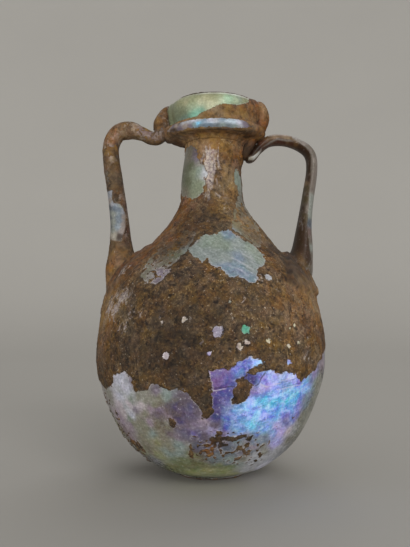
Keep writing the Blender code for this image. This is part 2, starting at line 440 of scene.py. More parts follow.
def crustFinish():
    # earthy crust: clots of dark and mid brown, a network of golden grit, pale specks and small
    # pits; Rust reddens it, Dark deepens it, in places as painted shade, Pale turns it sandy and
    # lighter, in places as painted light on shaded parts, Flaky breaks pinkish-white flakes out of
    # it, and Calm smooths the grit and pits away and turns it a worn dull brown
    group, given, place = startFinish("crustFinish", {"Rust": 0.0, "Dark": 0.0, "Pale": 0.0,
                                                      "Flaky": 0.0, "Calm": 0.0})
    loud = maths(group, "SUBTRACT", 1.0, given["Calm"])
    blotch = noise(group, place, 150, 4, 0.65, 0.6)
    clot = noise(group, place, 520, 4, 0.65, 0.5)
    other = noise(group, place, 330, 3, 0.6, 0.4)
    grit = noise(group, place, 1150, 4, 0.7, 0.3)
    veins = maths(group, "SUBTRACT", noise(group, place, 620, 3, 0.6), 0.5)
    veins = maths(group, "ABSOLUTE", veins)
    speck = noise(group, place, 1700, 2, 0.5)
    level = timesPlus(group, blotch, 0.5, times(group, clot, 0.5))
    rusty = times(group, given["Rust"], ranged(group, clot, 0.36, 0.64, 0.2, 0.95))
    sandy = maths(group, "ADD", ranged(group, blotch, 0.45, 0.62, 0.25, 0.8), given["Pale"])
    web = times(group, ranged(group, veins, 0.06, 0.0), ranged(group, grit, 0.42, 0.60))
    web = times(group, maths(group, "MAXIMUM", web, ranged(group, grit, 0.56, 0.70)), loud)
    shade = times(group, ranged(group, grit, 0.46, 0.34, 0, 0.75), loud)
    worn = mixed(group, ranged(group, blotch, 0.40, 0.60), finishTones["wornDark"],
                 finishTones["worn"])
    dull = maths(group, "SUBTRACT", 0.6, times(group, given["Rust"], 0.5), clamp=True)
    bleached = times(group, given["Pale"], ranged(group, clot, 0.35, 0.65, 0.3, 0.85))
    fleck = times(group, ranged(group, speck, 0.64, 0.72),
                  ranged(group, other, 0.48, 0.58, 0.15, 0.9))
    # flakes are round on the body and, above 84 to 88 mm, drawn out upwards on the neck
    tall = addNode(group, "Mapping", {"Vector": place, "Scale": (1.0, 1.0, 0.32)})
    neck = ranged(group, heightOf(group, place), 84 * mm, 88 * mm)
    grain = addNode(group, "Mix", {0: neck, 2: noise(group, place, 480, 5, 0.75, 0.7),
                                   3: noise(group, tall.outputs["Vector"], 520, 5, 0.75, 0.7)})
    flake = timesPlus(group, given["Flaky"], 0.29, grain.outputs[0])
    flakeTone = mixed(group, ranged(group, grit, 0.42, 0.58), finishTones["flakeShade"],
                      finishTones["flake"])
    # small pits, where clot and grit are both low, and fewer where it is rusty or calm
    hollow = timesPlus(group, clot, 0.5, times(group, grit, 0.5))
    hollow = times(group, ranged(group, hollow, 0.43, 0.36), loud)
    hollow = times(group, hollow, timesPlus(group, given["Rust"], -0.7, 1.0))
    colour = layered(
        group, mixed(group, ranged(group, level, 0.42, 0.57), finishTones["dark"],
                     finishTones["mid"]),
        (ranged(group, other, 0.50, 0.66, 0, 0.7), "warm"),
        (ranged(group, other, 0.46, 0.34, 0, 0.5), "earth"), (rusty, "rust"),
        (times(group, web, sandy, clamp=True), "light"), (shade, "dark"),
        (times(group, given["Calm"], dull), worn), (bleached, "light"),
        (times(group, fleck, loud), "pale"),
        (times(group, ranged(group, flake, 0.62, 0.76), 0.85), flakeTone),
        (times(group, hollow, 0.8), "pit"), (times(group, given["Dark"], 0.62), "pit"))
    wander = noise(group, place, 260, 3, 0.6, 0.6)   # patches lean to olive or to red
    colour = addNode(group, "HueSaturation", {
        "Hue": ranged(group, wander, 0.34, 0.66, 0.493, 0.506),
        "Saturation": ranged(group, noise(group, place, 200, 3, 0.6, 0.4), 0.34, 0.66, 1.16, 0.88),
        "Value": ranged(group, noise(group, place, 420, 3, 0.7), 0.34, 0.66, 0.84, 1.17),
        "Color": colour}).outputs["Color"]
    height = timesPlus(group, grit, 0.5, clot)
    height = maths(group, "SUBTRACT", height, times(group, hollow, 0.35))
    return endFinish(group, colour, height)


def filmFinish():
    # iridescent film: the tint shifts in hue from spot to spot; fine striations climb towards the
    # strap on the belly and fall towards it on the shoulder; cloudy flaked spots show a paler layer
    # and small dark pits
    group, given, place = startFinish("filmFinish", {"Tint": (0.5, 0.5, 0.5, 1.0), "Streaks": 1.0,
                                                     "Cloud": 1.0})

    def striations(lean, fine):
        # noise drawn out into thin streaks at a lean in degrees; fine is how many lie in a metre
        turned = addNode(group, "Mapping", {"Vector": place,
                                            "Rotation": (0.0, math.radians(lean), 0.0)})
        narrow = addNode(group, "Mapping", {"Vector": turned.outputs["Vector"],
                                            "Scale": (160.0, 160.0, fine)})
        return noise(group, narrow.outputs["Vector"], 1.0, 4, 0.65, 0.5)

    high = ranged(group, heightOf(group, place), 60 * mm, 66 * mm)      # where the lean turns over
    streak = addNode(group, "Mix", {0: high, 2: striations(14, 1300.0),
                                    3: striations(-32, 1000.0)}).outputs[0]
    wave = noise(group, place, 230, 4, 0.65, 0.8)
    cloud = noise(group, place, 520, 4, 0.7, 0.5)
    fleck = noise(group, place, 1300, 3, 0.65)
    hue = timesPlus(group, ranged(group, wave, 0.30, 0.70, -0.034, 0.034), given["Cloud"], 0.5)
    shine = timesPlus(group, maths(group, "SUBTRACT", streak, 0.5),
                      times(group, given["Streaks"], 1.3), 1.0)
    cloudy = times(group, given["Cloud"], ranged(group, cloud, 0.28, 0.72, -0.19, 0.19))
    shine = times(group, shine, maths(group, "ADD", cloudy, 1.0))
    shine = times(group, shine, ranged(group, fleck, 0.28, 0.72, 0.80, 1.20))
    full = timesPlus(group, ranged(group, cloud, 0.35, 0.68, 0.2, -0.15), given["Cloud"], 1.0)
    colour = addNode(group, "HueSaturation", {"Hue": hue, "Saturation": full, "Value": shine,
                                              "Color": given["Tint"]}).outputs["Color"]
    milk = times(group, ranged(group, fleck, 0.60, 0.72),
                 ranged(group, cloud, 0.46, 0.60, 0.1, 0.75))
    pits = ranged(group, noise(group, place, 950, 4, 0.7, 0.4), 0.60, 0.70, 0, 0.6)
    colour = layered(group, colour, (times(group, milk, given["Cloud"]), "milk"),
                     (times(group, pits, given["Cloud"]), "filmPit"))
    height = timesPlus(group, streak, 0.4, times(group, cloud, 0.9))
    return endFinish(group, colour, height)


crustGroup = crustFinish()
filmGroup = filmFinish()


def attribute(tree, name, output="Fac"):
    # one of the fields that a piece's points carry
    return addNode(tree, "Attribute", attribute_name=name).outputs[output]


def newMaterial(name):
    # an unfinished material, its node tree and shader, and the object's own coordinates
    material = bpy.data.materials.new(name)
    material.use_nodes = True
    tree = material.node_tree
    place = addNode(tree, "TexCoord").outputs["Object"]
    return material, tree, tree.nodes["Principled BSDF"], place


def joined(tree, node, outputs):
    # links each output to the node's input of that name
    for label, output in outputs.items():
        tree.links.new(output, node.inputs[label])


def bumpy(tree, height, strength, distance):
    # a normal tilted by the slope of the height, which stands for a distance in metres
    return addNode(tree, "Bump", {"Height": height, "Strength": strength,
                                  "Distance": distance}).outputs["Normal"]


finishes = {   # the film's roughness, metal, streaks and cloudiness, and the gloss and bumps of all
    "weatheredSkin": {"rough": 0.36, "metal": 0.20, "gloss": 0.4, "streaks": 0.6, "cloud": 1.0,
                      "bumps": 0.8},
    "weatheredCollar": {"rough": 0.33, "metal": 0.10, "gloss": 0.4, "streaks": 0.2, "cloud": 0.35,
                        "bumps": 0.7},
    "weatheredHandle": {"rough": 0.48, "metal": 0.0, "gloss": 0.3, "streaks": 0.3, "cloud": 1.0,
                        "bumps": 0.7},
}


def weatheredMaterial(name, plan):
    # film and crust on one surface: the piece's own crust field, roughened by noise, says which
    # shows, and its bare field lets the clear glass below show through the film
    material, tree, shader, place = newMaterial(name)
    crust = addNode(tree, "Group", node_tree=crustGroup)
    film = addNode(tree, "Group", node_tree=filmGroup)
    calm = attribute(tree, "calm")
    cloudy = timesPlus(tree, calm, -0.8 * plan["cloud"], plan["cloud"])
    joined(tree, crust, {field.capitalize(): attribute(tree, field)
                         for field in ("rust", "dark", "pale", "flaky")} | {"Calm": calm})
    joined(tree, film, {"Tint": attribute(tree, "tint", "Color"), "Cloud": cloudy})
    film.inputs["Streaks"].default_value = plan["streaks"]
    ragged = maths(tree, "SUBTRACT", noise(tree, place, 1000, 4, 0.7, 0.4), 0.5)
    edge = timesPlus(tree, ragged, 2.1, attribute(tree, "crust"))
    mask = ranged(tree, edge, -0.06, 0.12)
    # a pale rim on the film beside the crust: partly pale worn edges, partly painted highlights on
    # the raised edges
    paleRimAndGlint = maths(tree, "MAXIMUM", attribute(tree, "paleRimsAndGlints"),
                ranged(tree, noise(tree, place, 300, 3), 0.45, 0.62, 0.05, 0.5))
    paleRimAndGlint = times(tree, times(tree, paleRimAndGlint, ranged(tree, edge, -0.50, -0.12)), cloudy)
    scratchesAndGlints = attribute(tree, "lines")
    dusty = maths(tree, "ADD", attribute(tree, "dust"),
                  maths(tree, "SUBTRACT", noise(tree, place, 600, 4, 0.7, 0.4), 0.5))
    colour = layered(
        tree, film.outputs["Color"], (paleRimAndGlint, "filmRimGlint"),
        (ranged(tree, scratchesAndGlints, 0, 1, 0, 0.75), "scratchAndGlint"),
        (ranged(tree, scratchesAndGlints, 0, -1, 0, 0.75), "crackAndShade"),
        (times(tree, ranged(tree, dusty, 0.15, 0.75), 0.9), crust.outputs["Color"]),
        (mask, crust.outputs["Color"]))
    clear = timesPlus(tree, noise(tree, place, 700, 4, 0.65), 0.9, -0.45)
    clear = ranged(tree, maths(tree, "ADD", attribute(tree, "bare"), clear), 0.2, 0.9)
    seen = times(tree, clear, maths(tree, "SUBTRACT", 1.0, mask))
    height = maths(tree, "ADD", times(tree, mask, crust.outputs["Height"]),
                   times(tree, film.outputs["Height"], 0.12))
    joined(tree, shader, {
        "Base Color": colour,
        "Roughness": timesPlus(tree, mask, 0.88 - plan["rough"], plan["rough"]),
        "Metallic": timesPlus(tree, mask, -plan["metal"], plan["metal"]),
        "Alpha": maths(tree, "SUBTRACT", 1.0, seen),
        "Normal": bumpy(tree, height, plan["bumps"], 0.4 * mm)})
    shader.inputs["Specular IOR Level"].default_value = plan["gloss"]
    return material


def glassMaterial():
    # clear, slightly green old glass, a little cloudy and wavy
    material, tree, shader, place = newMaterial("paleGreenGlass")
    shader.inputs["Transmission Weight"].default_value = 1.0
    shader.inputs["IOR"].default_value = 1.5
    shader.inputs["Metallic"].default_value = 0.0
    cloud = ranged(tree, noise(tree, place, 90, 3), 0.35, 0.65)
    joined(tree, shader, {
        "Base Color": mixed(tree, cloud, (0.74, 0.80, 0.64), (0.84, 0.87, 0.74)),
        "Roughness": ranged(tree, noise(tree, place, 400, 3), 0.4, 0.7, 0.06, 0.22),
        "Normal": bumpy(tree, noise(tree, place, 160, 2), 0.25, 0.6 * mm)})
    return material


def residueMaterial():
    # thin brownish dust that clings to the inner wall, patchy enough to see through
    material, tree, shader, place = newMaterial("innerResidue")
    blotch = ranged(tree, noise(tree, place, 140, 4, 0.6), 0.35, 0.65)
    joined(tree, shader, {
        "Base Color": mixed(tree, blotch, finishTones["residue"], finishTones["paleResidue"]),
        "Alpha": ranged(tree, noise(tree, place, 500, 4, 0.65), 0.30, 0.62, 0.35, 0.85)})
    shader.inputs["Roughness"].default_value = 0.9
    return material


skin = {
    "bodyRows": 198,       # rows of each half of the body, whose girdle is where they meet
    "girdle": 42.0,
    "baseRun": (9, 5),     # how far up from the base's middle its rows lie wider, and how many
    "neckRows": 200,
    "thin": 0.04, "thick": 0.30,     # how far film and crust stand off the glass, without lumps
    "packed": 0.9, "joint": 3.2,     # earth in the handles' joints: its depth, and how far it goes
    "film": {    # where the crust is gone, as outlines of (angle, height)
        "lowerLeft": [
            (-100, 28), (-84, 34), (-70, 32), (-64, 31.5), (-55, 33), (-52, 36.5), (-48, 37.5),
            (-44, 38.5), (-39, 37), (-38, 34.5), (-37, 32.5), (-32, 33), (-27, 35.5), (-21, 34),
            (-13, 33.5), (-9, 30.5), (-5, 27), (-4, 25), (0, 24.5), (2, 17), (-10, 19), (-14, 12),
            (-1, 9.5), (6, 3), (0, 0.6), (-100, 0.6)],
        "violet": [
            (-1, 39), (3, 40), (7, 40.5), (11, 42.5), (16, 44), (23, 42.5), (16, 39.5), (19, 38.5),
            (25, 39.5), (31, 39), (41, 37.5), (45, 35.5), (50, 37.5), (56, 35), (56, 29.5),
            (53, 25.5), (46, 23.5), (46, 19), (42, 14), (37, 14), (27, 20), (14, 20), (3, 21),
            (-1, 19), (-3, 24), (0, 27), (-1, 34)],
        "lowerRight": [
            (50, 37), (54, 37.5), (58, 39), (63, 41), (70, 43.5), (80, 45), (92, 40), (104, 31),
            (100, 0.6), (0, 0.6), (6, 3), (16, 8.5), (37, 6.5), (36, 11), (33, 17), (44, 22),
            (52, 27)],
        "low": [
            (-13, 19.5), (2, 19), (10, 20.5), (27, 20), (33, 17.5), (37, 11), (38, 6), (16, 8),
            (-1, 9), (-11, 12)],
        "silver": [
            (-18, 78), (-15, 80), (-13, 82.5), (-8, 83), (1, 83), (14, 84.5), (24, 81.5), (32, 80),
            (37, 78.5), (38, 76), (35, 73), (26, 70), (24, 67.5), (21, 66.5), (17, 68), (11, 68),
            (5, 70), (-1, 73), (-2, 74.5), (-5, 74.5), (-6, 72.5), (-9, 74.5), (-13, 75)],
        "leftShoulder": [
            (-45, 70), (-47, 75), (-41, 81), (-31, 85), (-19, 84), (-16, 79), (-20, 76), (-24, 72),
            (-25, 68.5), (-30, 66.5), (-37, 66), (-43, 68)],
        "rightShoulder": [
            (24, 88), (36, 93), (60, 99), (86, 96), (84, 91), (68, 87), (56, 83), (46, 79.5),
            (40, 78), (36, 80), (31, 82), (18, 85)],
        "back": [
            (146, 38), (154, 43), (165, 41), (172, 36), (183, 38), (190, 45), (199, 47), (206, 41),
            (216, 38), (226, 29), (219, 23), (208, 22), (200, 15), (186, 19), (176, 25), (166, 21),
            (152, 24), (143, 31)],
        "backLow": [
            (100, 24), (130, 14), (160, 8), (200, 9), (236, 14), (262, 26), (262, 0.6),
            (100, 0.6)],
        "backShoulder": [
            (162, 76), (170, 79), (174, 83), (186, 80), (200, 84), (208, 78), (202, 74), (205, 69),
            (192, 70), (186, 64), (178, 67), (174, 72)],
        "bottom": [
            (-60, 0.6), (-40, 8), (-20, 10.5), (-1, 10), (16, 9.5), (40, 7), (60, 6), (60, 0.6)],
        "neck": [
            (-100, 101), (-104, 113), (-66, 116), (-57, 116.5), (-34, 114), (-29, 110.5),
            (-17, 108), (-9, 106), (-16, 103), (-17, 99.5), (-26, 97), (-38, 96.5), (-52, 97.5)],
        "neckRight": [(50, 109), (62, 107), (80, 104), (80, 96), (62, 95), (58, 99), (50, 104)],
        "cup": [
            (-96, 124.6), (-60, 124.5), (-38, 124.5), (-27, 124.5), (-22, 124.6), (-16, 126.0),
            (-8, 127.0), (2, 127.8), (14, 128.3), (28, 128.4), (39, 129.4), (51, 131), (60, 133.3),
            (-112, 133.3), (-118, 131.4), (-104, 129.6), (-110, 127)],
        "neckBack": [(150, 98), (160, 106), (178, 110), (192, 104), (200, 96), (176, 92)],
    },
    "islands": {   # crust left standing inside the film
        "gap": [
            (10.0, 37.2), (13.2, 38.8), (16.4, 40.0), (19.1, 41.0), (22.5, 42.2), (27, 41.6),
            (24.9, 39.9), (22.0, 39.2), (19.0, 38.6), (16.0, 38.2), (14.4, 36.6)],
        "brown": [
            (13, 38.5), (16, 37), (18, 36), (17, 33), (15, 30.5), (13, 30), (9, 30), (9, 33),
            (10, 36.5)],
        "speck": [(-20.5, 24.4), (-18.6, 24.6), (-18, 23), (-19.5, 21.8), (-21, 22.6)],
        "mottledTop": [
            (-1, 19.2), (4, 19.4), (8, 19.7), (13, 19.2), (18, 19.5), (22, 19.1), (21, 18.4),
            (17, 18.7), (12, 17.7), (7, 18.0), (3, 16.9), (-2, 18.0)],
        "lowLeft": [(-60, 14.5), (-52, 15), (-46, 13.5), (-50, 11), (-58, 12)],
    },
    "spots": [   # small bare discs: angle, height, size across
        (2, 51.5, 3.4), (15, 52, 2.2), (-20, 43.5, 2.4), (-12, 55, 1.3), (-23, 54, 1.1),
        (12, 47, 2.0), (14.8, 48.4, 1.4), (25, 48.5, 1.1), (38, 52, 0.9), (41, 53, 0.8),
        (36, 47, 1.0), (43, 47.5, 0.9), (37, 44, 0.9), (-1, 45, 0.8), (36, 41.5, 1.6),
        (32, 68, 1.9), (8, 60.5, 1.4), (-63, 70.8, 2.0)],
    "mottled": [   # where film and crust lie mixed: how much crust, and the outline
        (-0.5, [(-84, 31), (-66, 31), (-56, 24), (-47, 14), (-46, 7), (-66, 5), (-90, 14)]),
        (-0.1, [(150, 48), (186, 50), (216, 46), (214, 38), (186, 42), (156, 38)]),
        (-0.25, [(20, 90), (40, 94), (62, 98), (84, 92), (60, 84), (44, 79), (30, 83)]),
        (0.0, [(150, 22), (176, 24), (206, 22), (210, 12), (180, 8), (150, 12)]),
        (-0.2, [(160, 76), (180, 72), (208, 76), (204, 66), (180, 62), (166, 68)]),
        (-0.4, [
            (-12, 18.4), (2, 18), (10, 19.2), (27, 18.4), (32, 16.6), (36, 11), (37, 6.5),
            (16, 8.5), (-1, 9.5), (-10, 12.5)]),
        (0.35, [(-3, 18.6), (3, 18.8), (11, 19.4), (10, 16.4), (4, 15), (4, 12), (-4, 11)]),
        (-0.45, [
            (-46, 70), (-50, 78), (-42, 83), (-30, 85), (-19, 83), (-18, 77), (-21, 72), (-24, 66),
            (-34, 65), (-43, 67)])],
    "pads": [   # where a handle's foot spreads over the body: outline, thickness, how calm
        {"lift": 1.3, "soft": 1.2, "calm": 1.0, "edge": [
            (76, 78), (71, 76.2), (59.4, 74.1), (50.6, 71), (46.8, 68.2), (44.8, 65.7),
            (47.4, 64.6), (54, 64.2), (63, 62.4), (73, 64.8), (83, 61.6), (95, 65), (103, 62.8),
            (112, 67.5), (108, 73), (110, 78)]},
        {"lift": 1.0, "soft": 3.0, "calm": 0.7, "edge": [
            (-62, 80), (-57, 75), (-55, 71), (-57, 67.5), (-64, 64.5), (-74, 62.6), (-84, 64.4),
            (-97, 61.8), (-108, 66), (-114, 71), (-106, 79), (-84, 82)]}],
    "ring": {"from": -76, "to": 50, "below": 1.7, "above": 1.5},   # the bare band on the ring, whose pale film partly stands for a painted highlight along its front
    "tints": {   # the places of (angle, height) where the film has each tone
        # (48, 6) and (52, 3), near the base, are lightened: painted light
        "whitePearl": [
            (-45, 35), (-47, 36.5), (-43, 33), (-44, 24), (-50, 29.6), (48, 6), (52, 3)],
        "greyLilac": [
            (-38, 35), (-25, 33), (-28, 25), (-15, 26), (-9, 25), (-4, 22), (-9, 22), (-16, 22),
            (-17, 18), (-11, 23.4), (-18, 23.4), (17, 13), (-22, 18.6), (-40, 26.4), (62, 41),
            (-31, 69.4), (170, 22), (-30, 111.4)],
        "pearl": [
            (-49, 32), (-39, 31), (34, 10), (26, 9.4), (28, 10.4), (27, 11.4), (-47, 8), (-46, 26),
            (-43.6, 35), (47, 11), (31, 8), (29, 5), (53, 19), (32, 68), (-49, 62), (-64, 70.5),
            (212, 36), (186, 44), (-13, 105.5)],
        "smoke": [
            (-32, 32), (-62, 30), (-33, 29), (-24, 23), (-29, 31), (-13, 15.8), (30, 14.4),
            (22, 10.4), (18, 16), (-38.6, 23), (-34, 33), (34, 12), (40, 3), (54, 23), (61, 18),
            (84, 38), (70, 14), (94, 29), (8, 60.5), (200, 22), (66, 98), (170, 104)],
        "tealGrey": [
            (-19, 33), (-21, 31.6), (-33, 18.6), (-18, 15.6), (26, 17.6), (12, 11), (-27, 13),
            (-19, 13), (60, 33), (98, 33), (82, 33), (188, 35)],
        "dimLilac": [
            (-14, 32), (-20, 29), (-14, 29), (-9, 29), (-10, 18), (-4, 19), (-4, 17), (-7, 27.4),
            (-19, 27), (-12, 30.4), (7, 17.6), (-10, 14.5), (2, 23), (-38, 113)],
        "pearlPink": [(-52, 27), (-43, 28), (-51, 24), (-36, 27.4), (47, 19), (-20, 43.5)],
        "moss": [
            (-26, 29), (-35, 25), (-22, 21), (-29, 21), (-38, 20), (-42, 16), (-24, 17), (-24, 31),
            (-28, 23), (-37, 30.6), (-40, 22), (-25, 15), (-30, 17), (-45, 21), (-27, 19),
            (65, 26), (74, 30), (90, 24), (180, 12), (130, 10), (230, 12), (-95, 12)],
        "pinkGrey": [
            (-57, 23), (-21, 25), (-49, 20), (-56, 15), (-5, 25), (-30, 27), (-33, 22.6),
            (-3, 23.4), (20, 17), (24, 14.4), (-58, 20), (66, 38), (-90, 24)],
        "dustyLilac": [(-1, 21), (2, 20.6), (57, 36)],
        "oliveMoss": [(-71, 17), (-32, 16), (-52, 11), (-37, 11), (102, 20), (78, 22), (96, 10)],
        "dusk": [
            (-13, 27.4), (-14, 20.6), (-7, 20.2), (-8, 15.6), (6, 20.2), (-13, 26), (-6, 17.4),
            (-8, 26.4)],
        "dimSmoke": [
            (-17, 30.6), (-42, 12.4), (21, 11.4), (-22, 80), (-37, 75), (-40, 71), (-31, 72.4),
            (-41, 68), (-52, 113), (-64, 99)],
        "mauve": [(-25, 27), (-8, 23.8)],
        "nightViolet": [
            (-17, 29), (-10.5, 28.6), (-15, 24.6), (2, 30), (2, 26), (17, 37), (178, 30)],
        # the bright olive near the base is painted light, lighter where the base stands in shade
        "freshOlive": [
            (-24, 7.8), (-15, 8.2), (-7, 8.4), (5.6, 8.4), (12, 7.8), (-30, 6), (-18, 10.4)],
        "blue": [(15, 20), (34, 18.8), (12, 28), (13, 26), (13, 22), (27, 21), (168, 32)],
        "steelBlue": [(25, 19.6), (10, 40), (14, 41.5), (7, 25), (8, 22.4), (196, 38)],
        "blueGrey": [(25, 17.6), (28, 16.6), (53, 28.5), (61, 31)],
        "dustBlue": [
            (20, 17.6), (14, 18), (13, 17.4), (3, 11), (9, 13), (16, 13), (24, 13), (10, 9.4),
            (22, 18), (30, 18)],
        "slate": [(10, 20.4), (7, 29), (54, 35)],
        "dustyViolet": [(-9, 20), (18.5, 33.5), (41, 23), (160, 38), (184, 24)],
        "dimSlate": [(-9, 16.2), (9, 15.4), (21, 14.6)],
        "mutedLilac": [(-17, 32), (2, 51.5)],
        "silverGreen": [
            (-41, 30), (-47, 22), (-6, 82), (3, 82), (-5, 79), (3, 79), (11, 79), (30, 78),
            (33, 75), (-24, 106), (60, 103), (186, 98)],
        "sky": [
            (48, 34), (28, 20.6), (20, 43), (30, 32.5), (37, 32), (42, 33.4), (46, 33), (51, 33),
            (18, 29), (19, 26), (25, 25)],
        "cyan": [(43, 29), (44, 31), (24, 30), (31, 30), (39, 29), (20, 22)],
        "olive": [(-11, 13), (-34, 6), (-18, 5), (-3, 6), (10, 6), (22, 4), (88, 14)],
        "silver": [
            (20, 8.6), (-17, 79), (-13, 78), (20, 79), (2, 75), (9, 75), (25, 75), (22, 71),
            (-4, 76), (184, 74)],
        "plum": [(0, 37), (1, 40), (5, 40), (1, 34)],
        "violet": [(6, 37), (3, 33), (6, 33)],
        "periwinkle": [(23, 37), (23, 32), (34, 34.5), (45, 36), (46, 28), (47, 24)],
        "lilac": [(23, 34), (35, 21), (41, 19), (40, 16), (208, 30)],
        "paleBlue": [(26, 37), (29, 36), (34, 37), (40, 36), (36, 41.5)],
        "azure": [(33, 27), (33, 24), (41, 26)],
        "dimPearl": [(52, 15), (-36, 69), (-18, 82), (-24, 109.5)],
        "silverBlue": [(13, 83), (17, 75), (8, 71), (15, 71), (19, 68.5)],
        "brownGlass": [(-46, 79), (62, 80), (42, 79)],
        "dimGreen": [(-33, 80), (-28, 76), (-50, 103), (-44, 109), (-70, 107)],
        "strawGlass": [(40, 82), (30, 87), (57, 84), (76, 90)],
        "teal": [(15, 52)],
        "skin": [(-12, 55), (-23, 54), (12, 47), (14.8, 48.4), (-55, 57), (-40, 56.5)],
        "cream": [(25, 48.5), (38, 52), (36, 47), (43, 47.5)],
        "umber": [(44, 70), (46, 75), (66, 75), (80, 76), (96, 70)],
        "brownSkin": [(48, 66), (56, 71), (60, 66), (80, 66)],
        "greenGlass": [(-34, 101), (-22, 101), (-36, 106)],
    },
    "bare": [   # angle, height, reach, how clear
        (64, 101, 5, 0.2), (-80, 106, 4, 0.4), (66, 27, 9, 0.6), (60, 18, 9, 0.45),
        (54, 9, 8, 0.3), (82, 30, 7, 0.55), (94, 20, 6, 0.5), (76, 17, 6, 0.4), (30, 3, 6, 0.3),
        (10, 1, 6, 0.3), (-20, 1, 7, 0.4), (-46, 6, 8, 0.6), (66, 35, 5, 0.6), (-74, 22, 5, 0.6),
        (-66, 12, 7, 0.6), (45, 88, 6, 0.2), (62, 94, 6, 0.4), (-90, 12, 10, 0.6),
        (110, 14, 12, 0.8), (180, 6, 16, 0.7), (150, 8, 14, 0.7), (220, 8, 14, 0.7)],
    "calmer": [   # angle, height, reach, how smooth and worn
        (34, 103, 9, 0.3), (30, 93, 8, 0.2), (-5, 117.6, 9, 0.5), (60, 80, 6, 0.4)],
    "rust": [   # angle, height, reach, strength, here and in the lists below
        (-62, 96, 9, 0.8), (-45, 84, 8, 0.5), (-58, 74, 6, 0.5), (-74, 66, 9, 0.6),
        (-66, 54, 8, 0.6), (-64, 46, 8, 0.4), (40, 74, 6, 0.3), (62, 56, 10, 0.6),
        (44, 60, 9, 0.3), (-84, 80, 12, 0.7), (84, 62, 12, 0.5), (150, 60, 14, 0.4),
        (230, 70, 14, 0.5), (0, 117.9, 7, 0.6), (-40, 117.9, 7, 0.8), (40, 117.9, 7, 0.8),
        (-90, 117.9, 8, 0.8), (90, 117.9, 8, 0.8), (150, 117.9, 9, 0.7), (-150, 117.9, 9, 0.7),
        (-67, 124.5, 5, 0.7), (-34, 124.5, 4.5, 0.5), (30, 124.5, 4, 0.4), (56, 124.5, 5, 0.6),
        (20, 126, 4, 0.5), (45, 127, 5, 0.9), (62, 128, 6, 1.0), (46, 108, 5, 0.3),
        (68, 113, 4, 0.2), (120, 84, 12, 0.6), (-1, 15, 2.5, 1.0)],
    # the row along the upper edge of the strap's spread foot, from (46.5, 67) to (66, 75.4), is
    # painted shade under that edge
    "dark": [
        (14, 126, 7, 0.2), (34, 126.4, 7, 0.2), (16, 61, 7, 0.3), (-3, 47, 5, 0.2),
        (-104, 124.5, 2.2, 1.0), (-120, 124.5, 2.2, 1.0), (70, 124.5, 1.8, 0.8),
        (46.5, 67, 1.4, 0.8), (49.5, 70, 1.5, 0.8), (56, 73, 1.8, 0.7), (66, 75.4, 1.8, 0.6),
        (-22, 57, 8, 0.35), (-21, 46, 6, 0.35), (-3, 46, 5, 0.15), (-36, 83, 7, 0.35),
        (-14, 95, 5, 0.5), (10, 56, 9, 0.2), (-4, 46, 6, 0.3), (16, 46, 6, 0.2), (4, 19.4, 4, 0.6),
        (13, 18.6, 5, 0.4), (8, 17, 4, 0.3), (22, 19, 4, 0.2), (33, 113, 4, 0.35),
        (-15, 53, 9, 0.45), (-32, 45, 9, 0.5), (-50, 47, 8, 0.35), (-22, 40, 7, 0.5),
        (-4, 60, 8, 0.35), (-42, 61, 6, 0.45), (-3, 30, 4, 0.7), (-8, 36, 6, 0.45),
        (-60, 38, 7, 0.5), (14, 34, 3, 0.6), (-34, 89, 6, 0.5), (-20, 86, 6, 0.35),
        (56, 70, 7, 0.35), (72, 72, 7, 0.4), (-64, 72, 8, 0.2), (-12, 44, 6, 0.4),
        (200, 60, 14, 0.3), (4, 17, 3, 0.5)],
    "dust": [   # thin earth over the film
        (-36, 82, 6, 0.6), (-25, 79, 5, 0.35), (-42, 76, 5, 0.5), (-30, 73, 5, 0.3),
        (-24, 83, 5, 0.4), (66, 34, 8, 0.15), (62, 24, 6, 0.2), (-30, 20, 9, 0.25),
        (-20, 26, 7, 0.3), (-62, 16, 7, 0.55), (8, 12, 6, 0.15), (-8, 11, 6, 0.4),
        (40, 86, 8, 0.45), (60, 94, 9, 0.4), (50, 81, 6, 0.5), (0, 20, 4, 0.3), (180, 35, 12, 0.3),
        (184, 74, 6, 0.3), (160, 12, 12, 0.4)],
    # the entries at 118, and at 124.5 to 126 over the ring, lighten the ring and the flare under
    # it: painted light where they stand in shade
    "pale": [
        (66, 57, 6, 0.5), (78, 63, 7, 0.8), (-73, 58, 6, 1.0), (-68, 53, 5, 0.4), (46, 61, 6, 0.2),
        (35, 52, 6, 0.15), (5, 99, 4, 0.3), (30, 103, 6, 0.15), (48, 101, 4, 0.55),
        (42, 88, 7, 0.9), (0, 126, 5, 0.15), (57, 41, 5, 0.35), (62, 63, 6, 0.9),
        (-66, 57, 8, 0.3), (-61, 43, 6, 0.3), (46, 104, 4, 0.4), (32, 106, 3, 0.5),
        (24, 52, 9, 0.1), (40, 58, 10, 0.2), (18, 66, 9, 0.15), (-46, 55, 6, 0.2),
        (-54, 60, 6, 0.3), (40, 44, 7, 0.1), (-66, 62, 6, 0.3), (22, 97, 5, 0.25),
        (-66, 118, 8, 0.6), (-42, 118, 8, 0.55), (-18, 118, 7, 0.4), (6, 118, 7, 0.4),
        (28, 118, 6, 0.25), (48, 118, 7, 0.25), (-67, 124.5, 4.6, 1.0), (-48, 124.5, 4.6, 1.0),
        (-30, 124.5, 4.6, 1.0), (-12, 124.5, 4.6, 1.0), (6, 124.5, 4.6, 1.0),
        (24, 124.5, 4.6, 0.8), (42, 124.5, 4.6, 0.6), (58, 124.5, 4.6, 0.5), (1, 126, 3, 0.3)],
    "paleRimsAndGlints": [   # pale worn edges of the film, partly painted highlights on their raised edges
        (-20, 97.5, 3, 1.0), (-13, 101, 3, 1.0), (-9, 105, 2.5, 0.9), (22, 67, 4, 0.8),
        (5, 70, 4, 0.7), (-6, 73, 4, 0.5), (36, 75, 3, 0.5), (18, 44, 3, 0.8), (30, 40.5, 4, 0.5),
